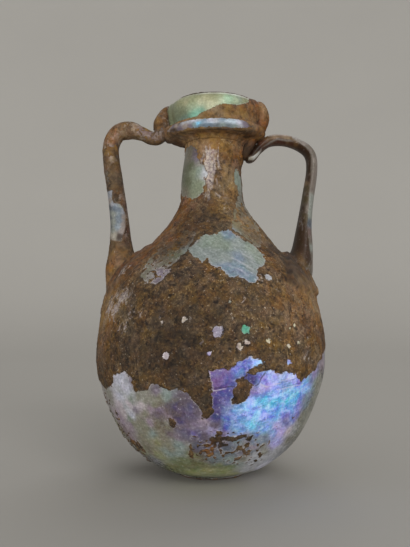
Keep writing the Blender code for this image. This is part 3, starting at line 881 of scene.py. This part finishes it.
        (-1, 38, 3, 0.6), (-44, 38, 4, 0.5), (-6, 30, 4, 0.4), (14, 30, 3, 0.6), (45, 130, 4, 0.8),
        (30, 128.6, 4, 0.5), (-33, 65.5, 4, 0.7), (50, 38, 4, 0.5)],
    "flaky": [
        (-10, 113, 3.5, 0.45), (-5, 108, 4, 0.5), (-3, 104, 4, 0.45), (4, 100, 4, 0.3),
        (6, 110, 4, 0.3), (-14, 97, 2.5, 0.4), (-49, 62, 3, 1.0), (-64, 70.5, 3, 0.9),
        (-55, 57, 3, 0.85), (-41, 56.6, 2.6, 0.7), (-63, 58, 3, 0.8), (-34, 57.4, 2, 0.4),
        (-60, 63, 3, 0.6), (-45, 52, 3, 0.5), (30, 131, 3, 0.6), (14, 62, 3, 0.3),
        (48, 43, 3, 0.5), (10, 93, 5, 0.25), (-23, 57, 3, 0.4), (50, 50, 4, 0.25),
        (24, 68, 3, 0.4)],
    "lines": [   # scratches and cracks in the film, and painted highlight and shade on the shoulder's striations: half width, how pale or dark, places
        (0.2, -1.0, [(-0.6, 34.4), (2.9, 34.6), (5.9, 34.7), (9.9, 34.9)]),
        (0.16, 0.9, [(-0.3, 33.7), (2.0, 33.9), (4.2, 34.2), (6.4, 34.4)]),
        (0.25, -1.0, [(23.5, 38.8), (21.6, 37.0), (21.0, 35.8), (19.4, 35.3)]),
        (0.18, 0.7, [(31.4, 36.1), (37.2, 36.6), (41.7, 37.1)]),
        (0.18, 0.8, [(30.4, 33.3), (38.0, 33.8), (47.1, 34.4)]),
        (0.15, -0.7, [(30.4, 33.8), (38.0, 34.3), (46.0, 34.9)]),
        (0.18, 0.8, [(28.4, 35.1), (33.2, 35.6)]),
        (0.16, -0.7, [(32.2, 35.5), (41.2, 36.3)]),
        (0.25, 0.8, [(21.2, 35.8), (23.3, 34.8), (25.4, 34.4)]),
        (0.16, -0.5, [(24.0, 28.6), (30.0, 29.4), (38.0, 29.8), (44.0, 31.0)]),
        (0.14, -0.45, [(12.0, 27.4), (18.0, 27.0), (24.0, 28.6)]),
        (0.16, -0.4, [(14.0, 24.2), (24.0, 23.8), (34.0, 25.2)]),
        # on the shoulder's silver patch the pale lines are painted highlights along its striations,
        # and the dark ones painted shade beside them
        (0.55, 0.42, [(13.0, 74.4), (19.0, 72.2), (23.0, 70.6)]),
        (0.45, 0.38, [(21.0, 76.0), (27.0, 74.2)]),
        (0.6, 0.35, [(10.0, 71.6), (16.0, 70.2), (20.0, 68.4)]),
        (0.5, 0.3, [(24.0, 73.4), (30.0, 71.8)]),
        (0.5, -0.3, [(14.0, 73.0), (20.0, 70.8), (24.0, 69.2)]),
        (0.4, -0.25, [(20.0, 75.0), (28.0, 72.8)])],
}


def swell(far, places, most=1.0):
    # sum of soft bumps: strength times exp(-(distance / reach) squared), held from 0 to most
    reach, strength = (np.array([place[k] for place in places])[:, None, None] for k in (2, 3))
    return np.clip((strength * np.exp(-(far / reach) ** 2)).sum(axis=0), 0, most)


def ringBand(angles, runs, band):
    # signed distance from the bare band round the ring's front, positive inside
    sides = np.minimum(np.degrees(angles) - band["from"], band["to"] - np.degrees(angles))
    sides = np.radians(sides) * ringRadius
    taper = ease(sides, 0, 6)
    return np.minimum(sides, np.minimum(runs - ringRun + band["below"] * taper,
                                        ringRun + band["above"] * taper - runs))


def weathering(spots, angles, runs, plan):
    # the fields that the weathered materials read, for one stretch of the vessel's skin: how deep
    # each spot lies in crust, from the outlines, discs and noise; its tint; and the soft bumps
    wander = wobble(spots, 6.0, (11, 23))
    behind = ease(-np.cos(angles), -0.15, 0.35)      # outlines and tones wander more behind
    loose = 0.6 + 2.6 * behind
    radius = np.maximum(np.interp(runs, outsideRun, outside[:, 0]), 4)
    moved = angles + wander[..., 0] * loose / radius, runs + wander[..., 1] * loose
    shown = np.max([patchBy(*moved, edge) for edge in plan["film"].values()], axis=0)
    for edge in plan["islands"].values():
        shown = np.minimum(shown, -patchBy(*moved, edge))
    size = np.array([spot[2] for spot in plan["spots"]])[:, None, None]
    discs = (size / 2 - placeDistances(*moved, plan["spots"])).max(axis=0)
    shown = np.max([shown, discs, ringBand(*moved, plan["ring"])], axis=0)
    fray = 1 - 0.7 * ease(spots[..., 2], 117.5, 119.5)      # edges are cleaner on the collar
    crust = -shown + fray * (0.55 * lumps(spots, 3.4, 3, 1) + 0.65 * lumps(spots, 1.6, 5, 1)
                             + 0.35 * lumps(spots, 0.8, 7, 1))
    for bias, edge in plan["mottled"]:
        within = ease(patchBy(*moved, edge), -0.8, 1.2)
        crust = crust + within * (np.maximum(crust, 0.9 * lumps(spots, 2.2, 31)
                                            + 1.3 * lumps(spots, 0.9, 37, 1) + bias) - crust)
    places, colours = tonedPlaces(plan["tints"], filmTones)
    fret = wobble(spots, 2.6, (61, 67))
    far = placeDistances(angles + wander[..., 1] * (0.02 + 0.14 * behind) + 0.035 * fret[..., 0],
                         runs + wander[..., 0] * (1.2 + 5 * behind) + 1.1 * fret[..., 1], places)
    fields = {field: swell(placeDistances(angles, runs, plan[field]), plan[field])
              for field in ("bare", "calmer", "rust", "dark", "dust", "pale", "paleRimsAndGlints", "flaky")}
    calm = np.maximum(0.5 * ease(spots[..., 2], 117, 119), fields.pop("calmer"))
    for pad in plan["pads"]:
        within = ease(patchBy(*moved, pad["edge"]), -0.3, 0.6)
        crust = np.where(within > 0.5, np.maximum(crust, 1.0), crust)
        calm = np.maximum(calm, pad["calm"] * within)
    lines = sum(strength * np.exp(-(lineDistance(*moved, path) / width) ** 2)
                for width, strength, path in plan["lines"])
    return fields | {"crust": crust, "calm": calm, "tint": blendPlaces(far, colours, 1.2),
                     "lines": np.clip(lines, -1, 1)}


def crustLift(spots, fields):
    # how far the skin stands off the glass: a thin film, and crust with rounded edges and lumps
    mound = ease(fields["crust"], -0.1, 0.7) * (1 - 0.5 * fields["calm"])
    relief = (skin["thick"] + 0.16 * lumps(spots, 7.0, 41) + 0.20 * lumps(spots, 2.2, 43)
              + 0.10 * lumps(spots, 0.9, 47, 1))
    return skin["thin"] + 0.02 * lumps(spots, 3.0, 53) + mound * relief


def handleGap(spots):
    # distance from each spot to the nearest handle's surface, its section taken as round
    line = np.concatenate([smoothLine(plan["route"], 90) for plan in (rod, strap, strapEnd)])
    gap = np.full(spots.shape[:-1], np.inf)
    for centre in line[::2]:
        reach = 0.5 * centre[3] * 1.15
        gap = np.minimum(gap, np.linalg.norm(spots - centre[:3], axis=-1) - reach)
    return gap


def skinPiece(name, runs, angles, material, plan, retint=None):
    # one stretch of the skin, by its rows' runs and its columns' angles: crust and film, plus the
    # handles' spread feet and the earth packed into the joints with them
    line, runs = resample(outside, outsideRun, runs), runs[:, None]
    spots = turnedSpots(line, angles)
    fields = weathering(spots, angles, runs, plan)
    if retint:
        retint(spots, angles, runs, fields)
    packed = (plan["packed"] * ease(handleGap(spots), plan["joint"], 0.2)
              * (1 + 0.4 * lumps(spots, 2.0, 83)))
    feet = sum(pad["lift"] * ease(patchBy(angles, runs, pad["edge"]), 0.0, pad["soft"])
               for pad in plan["pads"])
    spots = turnedSpots(line, angles, crustLift(spots, fields) + packed + feet)
    spots[..., 2] = np.maximum(spots[..., 2], 0.0)      # nothing under the base
    return gridPiece(name, spots, fields, material)


def bodySkins(material):
    # the body's skin in two halves, up to the girdle and on to the seam with the neck; the lower
    # half starts at the base's middle, with wider rows on the flat of the base
    rows, (flat, few) = skin["bodyRows"], skin["baseRun"]
    girdle, seam = float(runAt(skin["girdle"])), float(runAt(vessel["seam"]))
    lower = np.concatenate([np.linspace(0, flat, few)[:-1],
                            np.linspace(flat, girdle, rows - few + 1)])
    skinPiece("lowerBodySkin", lower, columnAngles(), material, skin)
    skinPiece("upperBodySkin", np.linspace(girdle, seam, rows), columnAngles(), material, skin)


def neckSkin(material):
    # the neck's and the collar's skin, from the seam to the mouth, with half as many columns
    runs = np.linspace(float(runAt(vessel["seam"])), outsideRun[-1], skin["neckRows"])
    skinPiece("neckSkin", runs, columnAngles()[:, ::2], material, skin, collarTints)


collar = {
    "cup": {   # the places of (angle, height) where the cup has each tone; the cream, bright, light and mint tones are painted highlights
        "cupMoss": [
            (-70, 129), (-47, 127), (-40, 127), (22, 129), (120, 130), (180, 130), (-120, 130)],
        "cupOlive": [
            (-46, 131), (-9, 127.3), (-3, 127.9), (-28, 130), (-20, 131.4), (-4, 131), (2, 129),
            (8, 131.2), (39, 130.6), (-40, 132.7), (60, 132)],
        "cupShade": [(-45, 124.8), (-39, 124.8)],
        "cupGreen": [(-33, 125.1), (-16, 126.6)],
        "cupTeal": [(-28, 125.6), (-22.6, 126.1)],
        "cupLightHighlight": [(-32, 127.6), (-25, 128), (9, 129.6), (27, 130.0)],
        "cupBrightHighlight": [(-18, 129.2)],
        "cupCreamHighlight": [(-12, 130.4), (-38, 130), (-6, 129.4)],
        "mintHighlight": [(14, 130.4), (20, 130.2)],
        "silverGreen": [(33, 131)],
        # the dark olive along the lip is painted shade
        "lipShadeOlive": [(0, 132.7), (20, 132.6), (40, 132.4), (-20, 132.7)],
    },
    "ring": {   # the same for the ring, as (angle, how far above the band's middle); its whites and pale blues are partly pearly film and partly a painted highlight along the ring's front
        "greyLilac": [(-74, 0.3), (-58, 0.6), (-44, -0.8), (-30, -0.8), (36, 0.2), (40, -0.6)],
        "skin": [(-70, -0.4), (-66, 0.4), (-50, 0.4), (-36, -0.6), (180, 0)],
        "umber": [(-62, -0.7), (-45, 0.9), (-54, -0.6)],
        "pearl": [(-40, 0.8), (-31, 0.6), (-19, 0.8), (1, 0.7), (31, -0.9)],
        "whitePearl": [(-25, 0.9), (-5, 0.8), (29, 0.3)],
        "tealGrey": [(-24, -0.4), (9, -0.9), (24, -1.1)],
        "cyan": [(-19, -0.3)],
        "dustBlue": [(-16, -0.9), (2, -0.8), (16, -1.0)],
        "silverBlue": [(-12, 0.7), (-11, -0.7), (-5, -0.6), (8, 0.6)],
        "whiteBlue": [(15, 0.4), (22, 0.2)],
        "brownSkin": [(44, 0.3), (52, 0)],
    },
}


def collarTints(spots, angles, runs, fields):
    # the collar has its own tones: the cup above the ring, and the bare band on the ring itself,
    # each blended from its places; some of the cup's pale tones are painted highlights, and the
    # ring's whites are partly so. The lip is made rough crust and painted dark: painted shade along
    # the mouth's edge
    places, colours = tonedPlaces(collar["cup"], filmTones)
    cup = 0.94 * blendPlaces(placeDistances(angles, runs, places), colours, 1.5)
    places, colours = tonedPlaces(collar["ring"], filmTones)
    turn, rise = np.array(places, float).T[..., None, None]
    sway = 0.5 * lumps(spots, 1.6, 91)
    apart = ((angles - np.radians(turn) + np.pi) % (2 * np.pi) - np.pi) * ringRadius + sway
    far = np.hypot(apart, 1.6 * (runs - ringRun - rise + 0.4 * sway))
    ring = 0.9 * blendPlaces(far, colours, 0.9)
    onRing = ease(runs, ringRun - 4.0, ringRun - 3.0)[..., None]
    onCup = ease(runs, ringRun + 1.8, ringRun + 2.6)[..., None]
    # the lip's band, made crust and darkened, is painted shade along the mouth's edge
    lip = ease(spots[..., 2], 132.4, 133.1)
    fields["crust"] = fields["crust"] + 1.6 * lip
    fields["dark"] = np.maximum(fields["dark"], 0.7 * lip)
    fields["tint"] = (fields["tint"] * (1 - onRing) + ring * onRing) * (1 - onCup) + cup * onCup


glass = {"outerRows": 220, "innerRows": 150, "columns": 128,
         "residueRows": 110, "residueColumns": 112, "residueGap": 0.05}


def glassWall(material):
    # closed shell: up the outside just under the skins, over the lip, and down the inner wall
    inner = smoothLine([vessel["cup"][-1], *vessel["inside"]], glass["innerRows"])
    outer = resample(outside, outsideRun, np.linspace(0, outsideRun[-1], glass["outerRows"]))
    spots = turnedSpots(np.concatenate([outer, inner[1:]]), ringAngles(glass["columns"]))
    wall = gridPiece("glassWall", spots, {}, material)
    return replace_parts(wall, "vase")


def innerResidue(material):
    # dust just off the inner wall, from below the mouth to the floor; it faces the hollow
    line = smoothLine(vessel["inside"][3:], glass["residueRows"])
    spots = turnedSpots(line, ringAngles(glass["residueColumns"]), glass["residueGap"])
    return gridPiece("innerResidue", spots, {}, material)


# the handles' own tones: brown glass with a stony skin in places; the darkest is painted shade in
# creases and pockets, and the whitest a painted highlight
handleTones = {
    "night": (32, 18, 10), "umber": (54, 39, 26), "redBrown": (70, 44, 30), "olive": (70, 60, 40),
    "brown": (88, 66, 43), "orange": (112, 75, 40), "ember": (94, 50, 22), "tan": (114, 93, 70),
    "lilacBrown": (104, 87, 82), "stone": (104, 95, 86), "paleStone": (122, 113, 106),
    "bone": (156, 150, 137), "slate": (98, 108, 117), "paleSlate": (124, 133, 140),
    "deepSlate": (80, 84, 90), "frost": (130, 133, 126), "lilacFrost": (138, 140, 146),
    "pinkFrost": (136, 127, 121), "hairpinHighlight": (190, 190, 184),
}
handleTones = {name: linear(colour) for name, colour in handleTones.items()}

rod = {   # thick rod: spread foot on the shoulder, square bend, end pressed up on the collar
    "route": [   # x, y, z, thickness
        (-33.4, 0.0, 54.5, 6.0), (-32.6, 0.0, 60.0, 10.4), (-31.9, 0.0, 67.0, 12.2),
        (-32.2, 0.0, 73.5, 11.8), (-32.7, 0.0, 79.5, 8.6), (-33.2, 0.0, 87.5, 7.0),
        (-34.6, 0.0, 99.6, 6.4), (-36.4, 0.0, 111.5, 6.0), (-36.6, 0.0, 118.0, 6.0),
        (-34.2, 0.0, 122.4, 6.2), (-29.8, 0.0, 123.4, 6.4), (-25.3, 0.0, 122.1, 5.0),
        (-21.0, 0.0, 120.5, 4.8), (-18.3, 0.0, 122.2, 5.8), (-17.7, 0.0, 125.8, 6.4),
        (-16.7, 0.0, 129.4, 4.8), (-15.3, 0.0, 132.4, 1.8)],
    "depth": 1.15, "ridge": 0.0, "rows": 420, "columns": 64, "relief": 0.8, "crusty": 0.15,
    "foot": (84, 78), "lit": 1.25,
    "tints": {   # the places of (x, z), as seen from the front, where it has each tone
        "brown": [
            (-18, 130), (-20, 124.6), (-23.6, 120), (-19.6, 120), (-38, 112.6), (-37.6, 109.6),
            (-35.6, 110), (-33.8, 109.6), (-33, 102.6), (-32.6, 98.4), (-30, 91), (-36, 81),
            (-33, 81), (-37, 77), (-33.4, 76), (-37, 72), (-30, 73.6), (-28, 68), (-32, 66),
            (-33, 60)],
        "tan": [
            # the tans at (-30, 120.4) and (-26, 120), under the top bar, are painted light on its
            # shaded underside
            (-19.5, 127.5), (-17.3, 127), (-37.6, 121), (-32, 122.6), (-33.6, 119.8), (-30, 120.4),
            (-29, 122.6), (-26, 120), (-38, 116), (-36, 113), (-36, 66)],
        # the darkest tone where the end meets the collar is painted shade in that crease
        "night": [(-15.9, 128)],
        "umber": [(-18.5, 127.4), (-18, 123.6), (-34, 117), (-34, 113.6), (-37, 103)],
        "orange": [(-35.5, 121.6), (-36.6, 119), (-34, 70)],
        "lilacBrown": [(-25, 122), (-21.4, 121.4), (-36.6, 116)],
        "olive": [
            (-37, 106), (-35, 105.6), (-33.4, 106), (-35, 102.4), (-34.6, 98.6), (-28.6, 76)],
        "redBrown": [(-31, 93.6), (-29.6, 87), (-30, 81)],
    },
    "patches": [   # paler places with an outline of their own
        {"edge": [
            (-38.4, 100.8), (-35.6, 100.7), (-35.6, 97.6), (-35.1, 96.1), (-32.9, 95.8),
            (-31.7, 94.4), (-31.0, 92.4), (-30.9, 87.6), (-31.5, 84.3), (-32.1, 82.1),
            (-33.5, 82.3), (-35.8, 83.0), (-38.4, 84.2)],
         "tints": {
            "lilacFrost": [(-37, 99.4), (-35.6, 96), (-31.5, 93.6)],
            "pinkFrost": [(-36.6, 97), (-31.4, 91), (-31.4, 88.4), (-31.9, 86)],
            "deepSlate": [(-36.9, 94.6), (-37, 91), (-36.9, 87.4)],
            "slate": [(-34.6, 94.4), (-33.2, 93.6), (-33.2, 91), (-33, 89.6)],
            "frost": [(-35.4, 92.2), (-35.3, 89.4), (-35.6, 86.4), (-32.2, 95.2)],
            "paleSlate": [(-33.6, 87.4)],
            "bone": [(-34.8, 84.4), (-36.2, 84.6)],
            "umber": [(-32.7, 84)]}},
        {"edge": [
            (-31.8, 71.1), (-30.6, 71.9), (-29.0, 71.3), (-26.8, 69.9), (-27.0, 69.3),
            (-28.8, 69.5), (-30.8, 69.7)],
         "tints": {
            "stone": [(-31, 71)],
            "slate": [(-29.4, 70.4)],
            "bone": [(-27.6, 69.8)]}}],
    "rust": [   # x, z, reach, strength
        (-36.5, 120, 6, 0.7), (-30, 122, 5, 0.4), (-17.5, 126, 5, 0.5), (-34, 68, 6, 0.6),
        (-31, 77, 5, 0.3), (-36, 73, 4, 0.5)],
    # the four small darks by the end, from -15.2 to -17.6 across, are painted shade in its crease
    # against the collar
    "dark": [
        (-35.4, 103, 4, 0.35), (-15.6, 127, 1.4, 1.0), (-15.2, 132.2, 1.0, 1.0),
        (-15.8, 130.2, 0.9, 1.0), (-17.6, 125, 0.9, 0.8), (-33.6, 113, 2.0, 0.5),
        (-29, 78, 3, 0.3), (-31, 84, 4, 0.2)],
    "pale": [
        (-36, 114, 12, 0.4), (-26, 121, 9, 0.4), (-34, 69, 14, 0.45), (-18, 127, 6, 0.3),
        (-30, 70, 3, 0.5), (-35, 66, 5, 0.4)],
    "flaky": [(-37, 66, 2.4, 0.5), (-31, 66, 2.5, 0.5)],
}

strap = {   # thin strap: spread foot, shaft and a low arch that dips in to touch the neck
    "route": [
        (32.0, 0.0, 57.5, 5.0), (31.6, 0.0, 62.5, 8.6), (31.4, 0.0, 67.5, 9.6),
        (31.8, 0.0, 73.0, 10.2), (33.2, 0.0, 79.4, 7.6), (34.0, 0.0, 88.5, 5.2),
        (35.4, 0.0, 98.5, 4.3), (36.9, 0.0, 108.5, 4.0), (36.2, -0.3, 114.3, 4.0),
        (32.6, -0.6, 117.6, 4.0), (27.0, -0.8, 119.5, 3.9), (21.2, -1.0, 119.2, 3.9),
        (17.2, -1.2, 116.2, 3.5), (14.6, -1.3, 113.0, 3.4), (12.4, -1.4, 113.0, 3.6)],
    "depth": 1.8, "ridge": 0.1, "rows": 420, "columns": 64, "relief": 0.4, "crusty": -0.6,
    "foot": (76, 68), "lit": 1.08,
    "tints": {
        "umber": [
            (13, 111.6), (12.4, 114), (32, 117), (31.4, 115.8), (34, 115), (34.6, 112.5),
            (35.4, 109), (35.4, 105), (33, 94), (32.4, 90), (31.6, 86), (33.4, 86), (30.6, 81),
            (33.6, 81), (28.6, 76), (34, 76), (28, 71)],
        # the darkest tone in the hairpin's pocket is painted shade
        "night": [(14.4, 114.6), (16.4, 116.4)],
        "brown": [
            (17, 112.6), (20.4, 119.4), (29, 119.4), (31, 75), (31, 70), (30, 66), (33.6, 67),
            (31, 117.4), (32, 60)],
        "redBrown": [(18.4, 118), (20.6, 117), (23.6, 118), (26, 118.2), (29, 117.6)],
        "tan": [(23, 120.2), (27, 120.4), (33.8, 104), (28, 119.6)],
        "stone": [(37.4, 104.6), (36.6, 102), (36, 98), (34.4, 94), (36.2, 66.5), (36.2, 68.8)],
        "olive": [(34.4, 101.6), (33.8, 98), (34, 90.4), (33.6, 71)],
    },
    "patches": [
        # the paler outer side of the shaft: a stony skin, partly painted light on the side away
        # from the body
        {"edge": [
            (29.4, 119.2), (31.6, 117.8), (33.8, 116.3), (35.5, 114.6), (36.0, 112.3),
            (35.9, 107.3), (35.9, 103.6), (35.3, 100.7), (35.1, 97.4), (34.9, 94.2), (34.5, 90.9),
            (34.2, 87.6), (34.4, 84.3), (34.8, 81.0), (35.2, 77.8), (35.8, 74.5), (35.0, 71.0),
            (39, 66), (42, 80), (42, 112), (37, 118), (29.4, 121.4)],
         "tints": {
            "paleStone": [
                (30.6, 119.4), (33, 118.2), (38.2, 112), (38.4, 108.6), (38.2, 104.6),
                (37.4, 101.4)],
            "stone": [
                (35.6, 116.2), (36.6, 113.6), (36.8, 109), (36.6, 105), (36.2, 101.6),
                (36.6, 85.4), (35.8, 82.6), (36.4, 77), (36.8, 74.6), (36, 71.4)],
            "frost": [(36.4, 97.6), (36, 94.6), (36, 91.6), (36.2, 79.8)],
            "deepSlate": [(35.2, 88.6)],
            "slate": [(36.4, 88.4)],
            "lilacBrown": [(35.2, 85.6)]}},
        # the white streak along the hairpin's lower edge is a painted highlight
        {"edge": [
            (13.4, 111.6), (15.6, 111.7), (17.3, 113.3), (18.4, 114.7), (18.2, 116.0),
            (16.9, 114.4), (15.2, 113.0), (13.6, 112.4)],
         "tints": {
            "bone": [(14, 112)],
            "hairpinHighlight": [(15.6, 112.4), (17.2, 113.8)],
            "pinkFrost": [(18.2, 115.4)]}},
        # a thin light line along the arch is a painted highlight
        {"edge": [
            (18.2, 116.0), (21.4, 117.8), (24.1, 118.9), (28.4, 118.4), (30, 118.0), (28.5, 119.0),
            (24.1, 119.5), (21.2, 118.4)],
         "tints": {
            "paleStone": [(24, 119)]}}],
    "rust": [(34.4, 82, 5, 0.2), (17, 117, 3, 0.4), (33, 64, 6, 0.4)],
    # (15.6, 115.6) is painted shade in the hairpin's pocket, and (31, 82) painted shade on the
    # shaft's side towards the body
    "dark": [(31, 82, 5, 0.5), (15.6, 115.6, 2.0, 0.8), (22, 118.0, 5, 0.3)],
    "pale": [(35, 65, 4, 1.0), (30, 68, 6, 0.3)],
    "flaky": [(36, 66, 4, 0.4), (36.6, 80, 2, 0.3)],
}

strapEnd = {   # the strap's last reach, up from the hairpin and over the side of the collar
    "route": [
        (13.6, -1.4, 112.4, 2.8), (12.6, -1.4, 114.4, 3.4), (14.6, -1.6, 118.6, 3.6),
        (17.2, -1.8, 122.6, 4.2), (18.8, -2.0, 127.0, 4.6), (17.8, -2.0, 130.8, 4.2),
        (15.4, -2.0, 132.4, 2.8)],
    "depth": 1.8, "ridge": 0.0, "rows": 170, "columns": 64, "relief": 0.8, "crusty": 1.2,
    "foot": (84, 78), "lit": 1.1,
    "tints": {
        "brown": [(17, 131.5), (18, 122.6), (17, 119.8)],
        "tan": [(19, 131), (20, 129)],
        "orange": [(18, 129), (18, 127), (19.6, 124.6), (16, 122.6)],
        "ember": [(20.4, 127), (17.6, 124.6), (15.4, 120)],
        "redBrown": [(14.2, 117.6), (13.2, 115.4)],
        # the darkest tone, in the fold of the hairpin, is painted shade
        "night": [(15.4, 116.6), (12, 114)],
        "umber": [(13, 112.2)],
    },
    "patches": [],
    "rust": [(18.5, 125, 6, 1.1), (16.5, 131, 5, 0.6), (15, 119, 3, 0.6)],
    # the first two darks, in the fold of the hairpin, are painted shade
    "dark": [
        (12.4, 114.4, 3.2, 0.9), (16.4, 117.4, 2, 0.9), (16.2, 124, 2.2, 0.6),
        (16.8, 127.6, 1.4, 0.5), (19, 122, 1.5, 0.3)],
    "pale": [(18, 129, 4, 0.3), (19.6, 131, 3, 0.6)],
    "flaky": [(16, 131.6, 2, 0.3)],
}


def sweptSpots(plan, lift=0.0):
    # an oval section carried along the route: across it in the route's own plane by the
    # thickness, and deep by that times the depth; both ends round off to a point
    line = smoothLine(plan["route"], plan["rows"])
    run = runAlong(line)
    along = np.gradient(line[:, :3], axis=0)
    along /= np.linalg.norm(along, axis=1, keepdims=True)
    side = np.cross((0.0, 1.0, 0.0), along)
    side /= np.linalg.norm(side, axis=1, keepdims=True)
    deep = np.cross(along, side)
    turn = ringAngles(plan["columns"]) - np.pi
    close = np.clip(np.minimum(run, run[-1] - run) / (0.5 * line[:, 3]), 0, 1)[:, None]
    radius = 0.5 * line[:, 3:] * np.sqrt(np.clip(1 - (1 - close) ** 2, 0, 1))
    bulge = 1 + plan["ridge"] * np.cos(turn) ** 8
    reach = radius * bulge + lift * close
    depth = radius * plan["depth"] * bulge + lift * close
    spots = (line[:, None, :3] + side[:, None] * (reach * np.sin(turn))[..., None]
             - deep[:, None] * (depth * np.cos(turn))[..., None])
    return spots, np.broadcast_to(np.cos(turn), reach.shape)


def frontDistances(flat, places):
    # distance of points, as seen from the front, from each (x, z) place
    return np.stack([np.hypot(flat[..., 0] - x, flat[..., 1] - z) for x, z, *_ in places])


def handleTint(flat, groups):
    # the colour at each point, blended from the places of every tone
    places, colours = tonedPlaces(groups, handleTones)
    return blendPlaces(frontDistances(flat, places), colours, 0.4)


def handlePiece(name, plan, material):
    # the swept section, lifted by noise where it is rough, with the same fields as the skin: crust
    # below the foot's heights and where the noise is high, and brown or paler glass elsewhere, with
    # painted highlight and shade among its tones and patches
    spots, front = sweptSpots(plan)
    flat = spots[..., [0, 2]]
    # away from the front the places wander more, so that no edge or band runs straight round
    aside = 1 - ease(front, 0.1, 0.7)
    moved = flat + (0.3 * wobble(spots, 2.5, (61, 67))
                    + 3.2 * aside[..., None] * wobble(spots, 5.0, (62, 68)))
    front = front + 0.9 * aside * lumps(spots, 4.0, 63)
    tint = plan["lit"] * handleTint(moved, plan["tints"])
    crust = plan["crusty"] + 0.6 * lumps(spots, 3.2, 69, 1) + 0.6 * lumps(spots, 1.5, 71, 2)
    low = ease(flat[..., 1] + 2 * lumps(spots, 3.0, 64), *plan["foot"])   # crusted like the body
    crust = crust * (1 - low) + 1.2 * low
    for patch in plan["patches"]:
        within = ease(insideBy(moved, patch["edge"]), -0.15, 0.2) * ease(front, -0.1, 0.05)
        tint = tint + within[..., None] * (handleTint(moved, patch["tints"]) - tint)
        crust = crust - 2.5 * within
    fields = {field: swell(frontDistances(flat, plan[field]), plan[field], 1.6)
              for field in ("rust", "dark", "pale", "flaky")}
    fields |= {field: 0 * crust for field in ("bare", "dust", "paleRimsAndGlints", "lines")}
    fields |= {"crust": crust, "tint": tint, "calm": 0 * crust + 0.8}
    mound = ease(crust, -0.1, 0.6)
    relief = (0.15 * lumps(spots, 6.0, 72, 1)
              + mound * (0.12 + 0.20 * lumps(spots, 3.0, 73) + 0.22 * lumps(spots, 1.4, 79)))
    spots, front = sweptSpots(plan, plan["relief"] * relief)
    return gridPiece(name, spots, fields, material)


print("making materials")
weathered = {name: weatheredMaterial(name, plan) for name, plan in finishes.items()}
clearGlass = glassMaterial()
residue = residueMaterial()

print("making the vessel")
glassWall(clearGlass)
innerResidue(residue)
bodySkins(weathered["weatheredSkin"])
neckSkin(weathered["weatheredCollar"])
print("making the handles")
for name, plan in (("rodHandle", rod), ("strapHandle", strap), ("strapEnd", strapEnd)):
    handlePiece(name, plan, weathered["weatheredHandle"])

studio = {
    "backdrop": (171, 168, 162), "floor": 0.5, "wall": 1.9, "rise": 1.35,   # radii and height in m
    "level": -0.0001, "middle": 0.25, "columns": 96, "rows": 40, "power": 2.6,
    "camera": (-2.2, -232.4, 59.3), "tilt": 2.85, "lens": 42.1, "sky": 0.42,
    "lights": [   # place in metres, watts and size; all stand outside the bowl
        ("key", (1.45, -3.15, 1.95), 50, 2.1), ("fill", (-0.30, -3.95, 0.15), 104, 2.2),
        ("back", (0.60, 2.20, 3.30), 30, 2.5)],
}


def stagePaper():
    # matt paper, hardly clouded
    material, tree, shader, place = newMaterial("stagePaper")
    colour = linear(studio["backdrop"])
    joined(tree, shader, {"Base Color": mixed(tree, noise(tree, place, 3.0, 2),
                                              tuple(colour * 0.97), tuple(colour * 1.03))})
    shader.inputs["Roughness"].default_value = 0.95
    shader.inputs["Specular IOR Level"].default_value = 0.1
    return material


def seamlessStage():
    # a plain bowl: a flat floor whose height then rises as the distance beyond it to a power
    out = np.linspace(0, 1, studio["rows"])
    rise = np.stack([studio["floor"] + (studio["wall"] - studio["floor"]) * out,
                     studio["rise"] * out ** studio["power"]], axis=1)
    line = np.concatenate([[[0.0, 0.0], [studio["middle"], 0.0]], rise])
    angles = ringAngles(studio["columns"])
    spots = np.stack([line[:, :1] * np.sin(angles), -line[:, :1] * np.cos(angles),
                      line[:, 1:] + 0 * angles + studio["level"]], axis=-1)
    floor = gridMesh("stage", spots[::-1], {}, stagePaper())
    floor.visible_shadow = False      # the lights shine in from outside the bowl


def lightsAndCamera():
    # soft square lamps that face the middle, an even pale sky, and the camera tilted a little up
    for name, place, watts, size in studio["lights"]:
        lamp = bpy.data.lights.new(name, "AREA")
        lamp.energy = watts
        lamp.size = size
        holder = placed(name, lamp)
        holder.location = place
        holder.rotation_euler = Vector(place).to_track_quat("Z", "Y").to_euler()
        holder.visible_camera = False
    world = bpy.data.worlds.new("softWorld")
    world.use_nodes = True
    world.node_tree.nodes["Background"].inputs["Color"].default_value = (1.0, 1.0, 1.0, 1.0)
    world.node_tree.nodes["Background"].inputs["Strength"].default_value = studio["sky"]
    world.cycles.sampling_method = "NONE"
    bpy.context.scene.world = world
    lens = bpy.data.cameras.new("camera")
    lens.lens = studio["lens"]
    lens.clip_start = 0.005
    camera = placed("camera", lens)
    camera.location = [value * mm for value in studio["camera"]]
    camera.rotation_euler = (math.radians(90 + studio["tilt"]), 0, 0)
    bpy.context.scene.camera = camera
    bpy.context.scene.view_settings.view_transform = "Standard"


print("making the stage")
seamlessStage()
lightsAndCamera()
